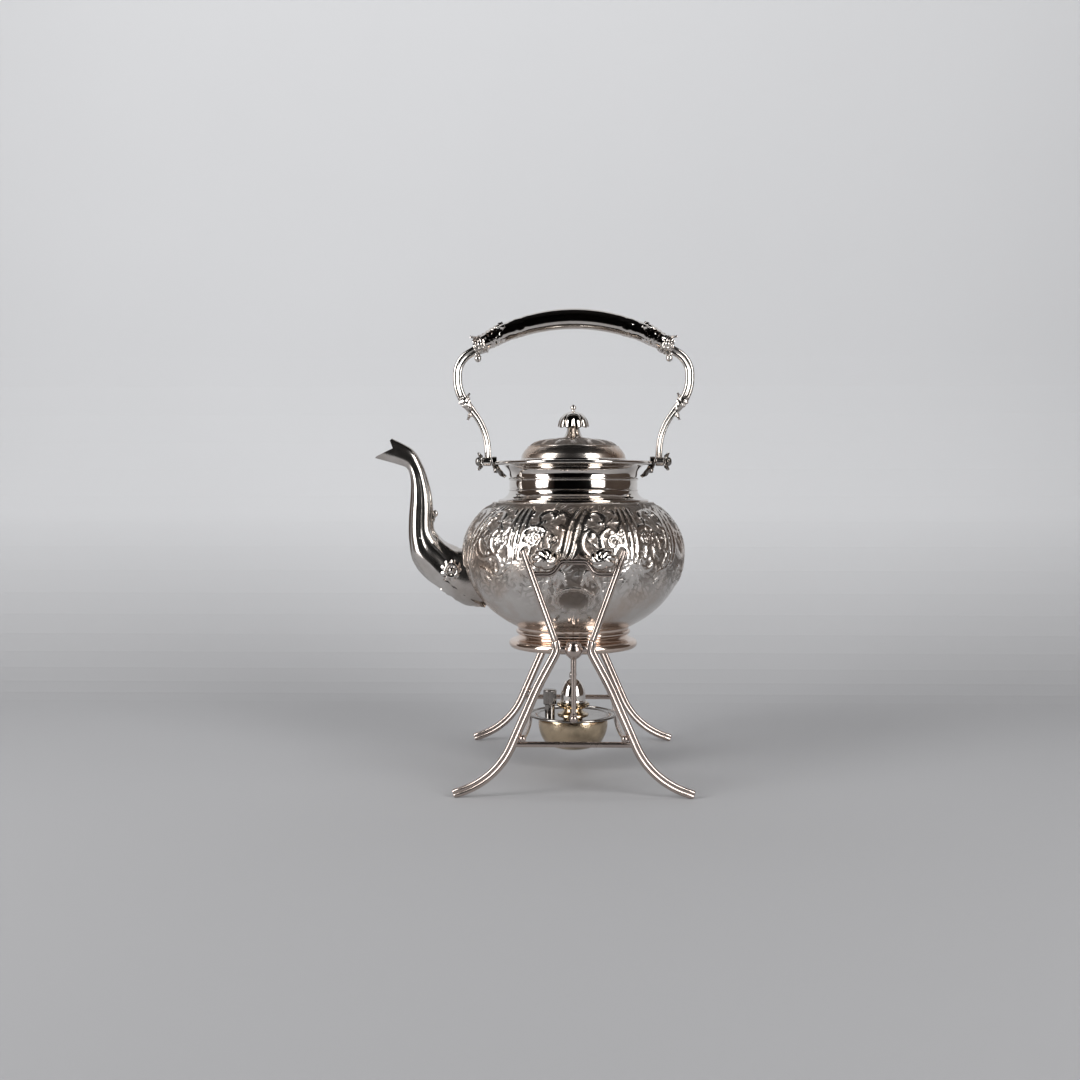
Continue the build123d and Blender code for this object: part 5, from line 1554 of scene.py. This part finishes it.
    def pivots(self, pivot):
        for name, side in SIDES:
            parts = []
            petal = leaf(6.9, 7.6, 1.0, 0.5, lobes=1, thick=1.2, ripple=0.4)
            for k in range(6):
                turn = 2 * math.pi * k / 6
                spoke = Vector((0, math.cos(turn), math.sin(turn)))
                outward = Vector((side, 0, 0))
                origin = Vector((side * 76.6, 0, pivot)) + spoke * 1.9
                parts.append(place(copy_of(petal), frame_matrix(origin, spoke + outward * 0.30, outward - spoke * 0.30)))
            bpy.data.objects.remove(petal)
            core = lathe(
                outline((0, 75.3), (3.3, 75.3), arc((4.6, 76.6), (4.0, 78.0), 6), arc((3.2, 80.4), (0, 81.6), 8)), 40
            )
            parts.append(place(core, frame_matrix((0, 0, pivot), (0, 1, 0), (side, 0, 0))))
            dress(join(parts), f"flower_{name}", "kettle", dark_silver(), (f"flower_nut_{name}",), angle=45)
            settle(f"pivot_pin_{name}", turned_steel())
            boss = lathe(
                outline((0, 63.6), (4.1, 63.6), (4.2, 66.4), arc((3.9, 67.6), (3.1, 67.9), 4), (0, 67.9)), 40
            )
            place(boss, frame_matrix((0, 0, pivot), (0, 1, 0), (side, 0, 0)))
            parts = [boss]
            hang = leaf(15.5, 10.5, 1.4, -1.0, lobes=3, thick=2.0, ripple=0.6)
            parts.append(
                place(hang, frame_matrix((side * 67.0, 0, pivot - 1.5), (-side * 0.62, 0, -0.78), (side * 0.78, 0, -0.62)))
            )
            for turn in (-1, 1):
                wing = leaf(9.5, 5.0, 0.8, 1.0, lobes=3, thick=1.0)
                parts.append(
                    place(wing, frame_matrix((side * 65.8, turn * 1.5, pivot - 1.6), (-side * 0.25, turn * 0.62, -0.72), (side * 0.9, turn * 0.2, -0.3)))
                )
            dress(join(parts), f"bracket_leaf_{name}", "kettle", dark_silver(), (f"handle_bracket_{name}",), angle=45)


class KETTLE_OT_stand(bpy.types.Operator):
    """Stand: reeded legs and uprights, cradles, bosses, pendants, stretchers and side bars"""

    bl_idname = "kettle.stand"
    bl_label = "Stand"

    def execute(self, context):
        size = sizes()
        half, reed = size.frame_spacing / 2 / MM, size.leg_reed / MM
        metal = stand_silver()
        slope = Vector((38.3 - 11.8, 187.0 - 113.2)).normalized()
        lap = (11.8 + slope.x * 6.5, 113.2 + slope.y * 6.5)
        leg_points = [lap, (11.8, 113.2), (27.0, 85.0), (58.3, 13.4), (91.0, 2.6)]
        leg_path = rounded_path(leg_points, [12.0, 200.0, 64.0], 2.0)
        cradle_points = [(-34, 169.4), (-16.2, 169.4), (-9.8, 178.6), (9.8, 178.6), (16.2, 169.4), (34, 169.4)]
        end_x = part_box("cradle_front")[1].x / MM
        cradle_points[0], cradle_points[-1] = (-end_x, 169.4), (end_x, 169.4)
        for name, side in FRAMES:
            y = side * half
            for hand, sign in SIDES:
                line = [(sign * p.x, y, p.y) for p in leg_path]
                leg = sweep("leg", line, reeds(reed, 3.2, 10))
                for vertex in leg.data.vertices:
                    vertex.co.z = max(vertex.co.z, 0.0)
                dress(leg, f"leg_bar_{name}_{hand}", "stand", metal, (f"leg_{name}_{hand}",), 40)
                steps = 12
                top = Vector((38.3, 187.0))
                line = [
                    (sign * p.x, y, p.y) for p in [Vector(lap).lerp(top, k / steps) for k in range(steps + 1)]
                ]
                upright = sweep("upright", line, reeds(1.5, 2.4, 8))
                dress(
                    upright, f"upright_bar_{name}_{hand}", "stand", metal, (f"upright_{name}_{hand}",), 40
                )
            line = [(p.x, y, p.y) for p in rounded_path(cradle_points, [7.5, 4.5, 4.5, 7.5], 0.8)]
            cradle = sweep("cradle", line, reeds(1.3, 1.8, 8), round_ends=False)
            dress(cradle, f"cradle_bar_{name}", "stand", metal, (f"cradle_{name}",), 40)
            boss = lathe(
                outline(
                    (0, 105.0),
                    (1.9, 105.2),
                    arc((3.0, 106.1), (4.4, 107.2), 6),
                    arc((6.9, 111.4), (6.1, 115.4), 12),
                    (5.6, 115.9),
                    arc((5.2, 117.2), (2.4, 118.3), 6),
                    arc((1.2, 118.6), (0, 118.7), 3),
                ),
                48,
            )
            place(boss, Matrix.Translation((0, y, 0)))
            arm = sweep("arm", [(x, y, 113.2) for x in (-10.4, -6, -2, 2, 6, 10.4)], round_section(2.3))
            dress(join([boss, arm]), f"boss_{name}", "stand", metal, (f"waist_boss_{name}",), 40)
            drop = lathe(
                outline(
                    (0, 57.0),
                    arc((2.3, 58.0), (3.0, 60.0), 6),
                    arc((2.6, 61.9), (1.9, 62.6), 4),
                    (2.6, 63.0),
                    (2.6, 63.7),
                    (1.7, 64.2),
                    arc((1.9, 85.0), (2.1, 105.7), 6),
                    (0, 105.7),
                ),
                32,
            )
            place(drop, Matrix.Translation((0, y, 0)))
            dress(drop, f"pendant_rod_{name}", "stand", metal, (f"pendant_{name}",), 40)
            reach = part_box(f"stretcher_{name}")[1].x / MM
            section = [(1.5 * c * 0.98, 2.2 * d) for c, d in round_section(1.0, 20)]
            line = [(reach * (k / 8 - 1), y, 40.7) for k in range(17)]
            bar = sweep("stretcher", line, section)
            dress(bar, f"stretcher_bar_{name}", "stand", metal, (f"stretcher_{name}",), 40)
        for hand, sign in SIDES:
            end_y, end_z = 106.0, 45.65
            line = []
            for k in range(33):
                share = k / 16 - 1
                line.append((sign * (35.8 + 2.6 * share ** 2), end_y * share, 40.6 + (end_z - 40.6) * share ** 2))
            bar = sweep("side_bar", line, round_section(1.9, 20), across=(1, 0, 0))
            parts = [bar]
            for end in (-1, 1):
                parts.append(ball(2.7, (sign * 38.4, end * end_y, end_z), (1, 1, 1), 24, 14))
                parts.append(ball(2.3, (sign * 38.3, end * (end_y - 4.2), end_z - 0.3), (1, 0.45, 1), 24, 10))
            dress(join(parts), f"side_rail_{hand}", "stand", metal, (f"side_bar_{hand}",), 40)
        return {"FINISHED"}


class KETTLE_OT_burner(bpy.types.Operator):
    """Lift-out burner with gallery, wick, filler cap and bell snuffer"""

    bl_idname = "kettle.burner"
    bl_label = "Spirit Burner"

    def execute(self, context):
        metal = burner_plate_material()
        bowl = outline(
            (0, 15.65),
            arc((12.0, 16.2), (22.6, 20.2), 12),
            arc((26.9, 27.0), (28.4, 42.85), 16),
            (27.4, 42.85),
            arc((25.9, 27.2), (21.8, 21.3), 10),
            arc((11.8, 17.3), (0, 16.65), 8),
        )
        dress(lathe(bowl, 128), "burner_cup", "burner", metal, ("burner_bowl",), 30)
        plate_outline = outline(
            (3.5, 42.85),
            (29.0, 42.85),
            arc((32.6, 43.0), (35.9, 43.6), 6),
            arc((36.9, 44.6), (35.8, 45.5), 8),
            arc((34.9, 45.3), (34.6, 44.6), 4),
            arc((32.4, 44.1), (30.2, 44.05), 5),
            arc((29.6, 44.5), (29.0, 44.05), 4),
            (3.5, 44.05),
            (3.5, 42.85),
        )
        dress(
            lathe(plate_outline, 128, closed=True), "burner_flange", "burner", dark_silver(), ("burner_plate",), 30
        )
        gallery = lathe(
            outline(
                (3.5, 44.05),
                (13.0, 44.05),
                arc((12.6, 45.2), (11.2, 45.4), 4),
                arc((8.6, 47.0), (7.6, 49.4), 6),
                arc((8.8, 51.6), (12.2, 53.2), 6),
                (12.4, 54.5),
                (4.6, 54.6),
                (4.6, 61.5),
                (3.5, 61.65),
                (3.5, 44.05),
            ),
            96,
            closed=True,
        )
        parts = [gallery]
        blade = leaf(5.4, 4.2, 0.6, 1.0, lobes=2, thick=0.6)
        for k in range(14):
            turn = 2 * math.pi * (k + 0.5) / 14
            out = Vector((math.cos(turn), math.sin(turn), 0))
            origin = out * 8.9 + Vector((0, 0, 50.2))
            parts.append(place(copy_of(blade), frame_matrix(origin, out * 0.68 + Vector((0, 0, 0.6)), out * 0.6 - Vector((0, 0, 0.68)))))
        bpy.data.objects.remove(blade)
        dress(join(parts), "gallery_leaves", "burner", metal, ("wick_gallery",), 40)
        wick = lathe(
            outline((0, 18.65), (3.2, 18.65), (3.4, 19.2), (3.4, 63.6), arc((3.1, 64.4), (2.2, 64.6), 4), (0, 64.4)), 48
        )
        dress(wick, "wick_braid", "burner", braided_cotton(), ("wick",), 40)
        settle("filler_neck", dark_silver())
        self.cap()
        self.snuffer()
        return {"FINISHED"}

    def cap(self):
        x, ribs = -19.4, 24
        ridge_points = outline(
            (4.28, 52.65),
            (5.25, 52.65),
            arc((5.55, 53.2), (5.55, 53.8), 3),
            (5.55, 63.6),
            arc((5.4, 64.6), (4.6, 65.2), 5),
            (0, 65.2),
            (0, 63.4),
            (4.28, 63.4),
            (4.28, 52.65),
        )
        cap = lathe(ridge_points, ribs * 6, closed=True)
        for vertex in cap.data.vertices:
            co = vertex.co / MM
            reach = math.hypot(co.x, co.y)
            if reach > 5.2 and co.z < 64.2:
                angle = math.atan2(co.y, co.x)
                grow = 1 - 0.055 * (0.5 - 0.5 * math.cos(ribs * angle))
                if 57.6 < co.z < 58.8:
                    grow = 0.93
                vertex.co.x *= grow
                vertex.co.y *= grow
        place(cap, Matrix.Translation((x, 0, 0)))
        dress(cap, "filler_cap_ribbed", "filler_cap", dark_silver(), ("filler_cap",), 40)
        settle("filler_washer", pressed_leather())

    def snuffer(self):
        bell = lathe(
            outline(
                (9.5, 55.0),
                (10.5, 55.0),
                (10.6, 55.6),
                (10.3, 56.4),
                arc((10.2, 63.0), (7.9, 69.7), 12),
                arc((4.7, 73.4), (0, 74.4), 8),
                (0, 73.3),
                arc((3.9, 72.5), (6.9, 69.0), 6),
                arc((9.1, 63.0), (9.5, 55.0), 8),
            ),
            96,
            closed=True,
        )
        dress(bell, "snuffer_bell", "snuffer", silver(), ("snuffer_dome",), angle=40)
        knob = lathe(
            outline(
                (0, 74.1),
                (2.2, 74.1),
                arc((1.4, 74.9), (1.5, 75.6), 4),
                arc((3.4, 77.6), (1.6, 80.2), 10),
                arc((0.8, 80.8), (0, 80.9), 3),
            ),
            40,
        )
        dress(knob, "snuffer_finial", "snuffer", silver(), ("snuffer_knob",), angle=40)


class KETTLE_OT_stage(bpy.types.Operator):
    """Pale table and backdrop, two softboxes, a dim room and the camera"""

    bl_idname = "kettle.stage"
    bl_label = "Stage"

    def execute(self, context):
        f = finish_of()
        self.sweep_cloth(f)
        self.room()
        self.lamps()
        self.camera()
        scene = bpy.context.scene
        scene.view_settings.view_transform = "Standard"
        world = bpy.data.worlds.new("Pale studio")
        world.use_nodes = True
        world.node_tree.nodes["Background"].inputs["Color"].default_value = (0.66, 0.66, 0.66, 1)
        world.node_tree.nodes["Background"].inputs["Strength"].default_value = 1.0
        scene.world = world
        return {"FINISHED"}

    def sweep_cloth(self, f):
        """Table cloth that runs back and up into the backdrop, painted lighter as it rises: painted light."""
        profile = [(-0.62, 0.0), (0.30, 0.0)]
        for k in range(1, 17):
            a = math.radians(90 * k / 16)
            profile.append((0.30 + 0.42 * math.sin(a), 0.42 - 0.42 * math.cos(a)))
        profile.append((0.72, 1.9))
        deselect()
        bpy.ops.mesh.primitive_plane_add(size=1.0)
        obj = bpy.context.object
        mesh = obj.data
        bm = bmesh.new()
        rows = [[bm.verts.new((x, y, z)) for x in (-1.15, 1.15)] for y, z in profile]
        for a, b in zip(rows, rows[1:]):
            bm.faces.new((a[0], a[1], b[1], b[0]))
        bm.to_mesh(mesh)
        bm.free()
        obj.name = "backdrop"
        material, tree, shader = blank_material("Backdrop cloth")
        place_node = tree.nodes.new("ShaderNodeTexCoord").outputs["Object"]
        split = tree.nodes.new("ShaderNodeSeparateXYZ")
        tree.links.new(place_node, split.inputs[0])
        # Painted light: the cloth is painted lighter from the table up into the backdrop.
        lift = map_range(tree, split.outputs["Z"], 0.01, 0.20, 0.0, 1.0)
        weave = noise_node(tree, place_node, 3.0, 2.0)
        tone = mix_colour(tree, lift, tuple(f.floor), tuple(f.wall))
        tone = mix_colour(tree, math_node(tree, "MULTIPLY", weave, 0.06), tone, (0.3, 0.3, 0.3))
        tree.links.new(tone, shader.inputs["Base Color"])
        shader.inputs["Roughness"].default_value = 0.9
        shader.inputs["Specular IOR Level"].default_value = 0.2
        mesh.materials.clear()
        mesh.materials.append(material)

    def room(self):
        """Dim room round the table, which the camera looks through but the silver reflects."""
        deselect()
        bpy.ops.mesh.primitive_cube_add(size=1.0, location=(0, -0.6, 1.2), scale=(6.0, 5.0, 3.4))
        obj = bpy.context.object
        obj.name = "room"
        material, tree, shader = blank_material("Dim room")
        place_node = tree.nodes.new("ShaderNodeTexCoord").outputs["Object"]
        split = tree.nodes.new("ShaderNodeSeparateXYZ")
        tree.links.new(place_node, split.inputs[0])
        aside = map_range(tree, math_node(tree, "ABSOLUTE", split.outputs["X"]), 2.0, 2.8, 0.0, 1.0)
        brown = mix_colour(tree, noise_node(tree, place_node, 4.0, 2.0), (0.42, 0.31, 0.25), (0.62, 0.50, 0.43))
        tone = mix_colour(tree, aside, (0.006, 0.005, 0.005), brown)
        tree.links.new(tone, shader.inputs["Base Color"])
        shader.inputs["Roughness"].default_value = 0.9
        obj.data.materials.append(material)
        obj.visible_camera = False

    def lamps(self):
        for name, azimuth, power in (("left", -57, 22.0), ("right", 44, 19.0)):
            a = math.radians(azimuth)
            centre = Vector((1.5 * math.sin(a), -1.5 * math.cos(a), 0.78))
            light = bpy.data.lights.new(f"softbox_{name}", "AREA")
            light.shape = "RECTANGLE"
            light.size = 0.62
            light.size_y = 1.5
            light.energy = power
            lamp = bpy.data.objects.new(f"softbox_{name}", light)
            bpy.context.collection.objects.link(lamp)
            aim = Vector((0, 0, 0.62)) - centre
            lamp.matrix_world = Matrix.Translation(centre) @ aim.to_track_quat("-Z", "Y").to_matrix().to_4x4()
        light = bpy.data.lights.new("wall_light", "AREA")
        light.shape = "RECTANGLE"
        light.size = 2.6
        light.size_y = 0.6
        light.energy = 9.0
        lamp = bpy.data.objects.new("wall_light", light)
        bpy.context.collection.objects.link(lamp)
        centre = Vector((0, 0.0, 1.7))
        aim = Vector((0, 0.72, 0.6)) - centre
        lamp.visible_glossy = False
        lamp.matrix_world = Matrix.Translation(centre) @ aim.to_track_quat("-Z", "Y").to_matrix().to_4x4()

    def camera(self):
        data = bpy.data.cameras.new("camera")
        data.sensor_width = 36.0
        data.sensor_fit = "HORIZONTAL"
        data.lens = 40.0
        cam = bpy.data.objects.new("camera", data)
        bpy.context.collection.objects.link(cam)
        cam.location = (-0.005, -1.0, 0.235)
        pitch, yaw = math.radians(-2.55), math.radians(1.3)
        cam.rotation_euler = (math.pi / 2 + pitch, 0, yaw)
        bpy.context.scene.camera = cam


class KETTLE_PT_panel(bpy.types.Panel):
    """Buttons and sizes of the spirit kettle"""

    bl_label = "Spirit Kettle"
    bl_idname = "KETTLE_PT_panel"
    bl_space_type = "VIEW_3D"
    bl_region_type = "UI"
    bl_category = "Kettle"

    def draw(self, context):
        layout = self.layout
        for name in KettleSizes.__annotations__:
            layout.prop(context.scene.kettle_sizes, name)
        for name in KettleFinish.__annotations__:
            layout.prop(context.scene.kettle_finish, name)
        for operator in OPERATORS:
            layout.operator(operator.bl_idname)


OPERATORS = (
    KETTLE_OT_body,
    KETTLE_OT_mouldings,
    KETTLE_OT_spout,
    KETTLE_OT_lugs,
    KETTLE_OT_lid,
    KETTLE_OT_handle,
    KETTLE_OT_stand,
    KETTLE_OT_burner,
    KETTLE_OT_stage,
)
CLASSES = (KettleSizes, KettleFinish, *OPERATORS, KETTLE_PT_panel)


def register():
    for cls in CLASSES:
        bpy.utils.register_class(cls)
    bpy.types.Scene.kettle_sizes = PointerProperty(type=KettleSizes)
    bpy.types.Scene.kettle_finish = PointerProperty(type=KettleFinish)


def unregister():
    del bpy.types.Scene.kettle_finish
    del bpy.types.Scene.kettle_sizes
    for cls in reversed(CLASSES):
        bpy.utils.unregister_class(cls)


def main():
    register()
    bpy.ops.kettle.body()
    bpy.ops.kettle.mouldings()
    bpy.ops.kettle.spout()
    bpy.ops.kettle.lugs()
    bpy.ops.kettle.lid()
    bpy.ops.kettle.handle()
    bpy.ops.kettle.stand()
    bpy.ops.kettle.burner()
    bpy.ops.kettle.stage()


if __name__ == "__main__":
    main()
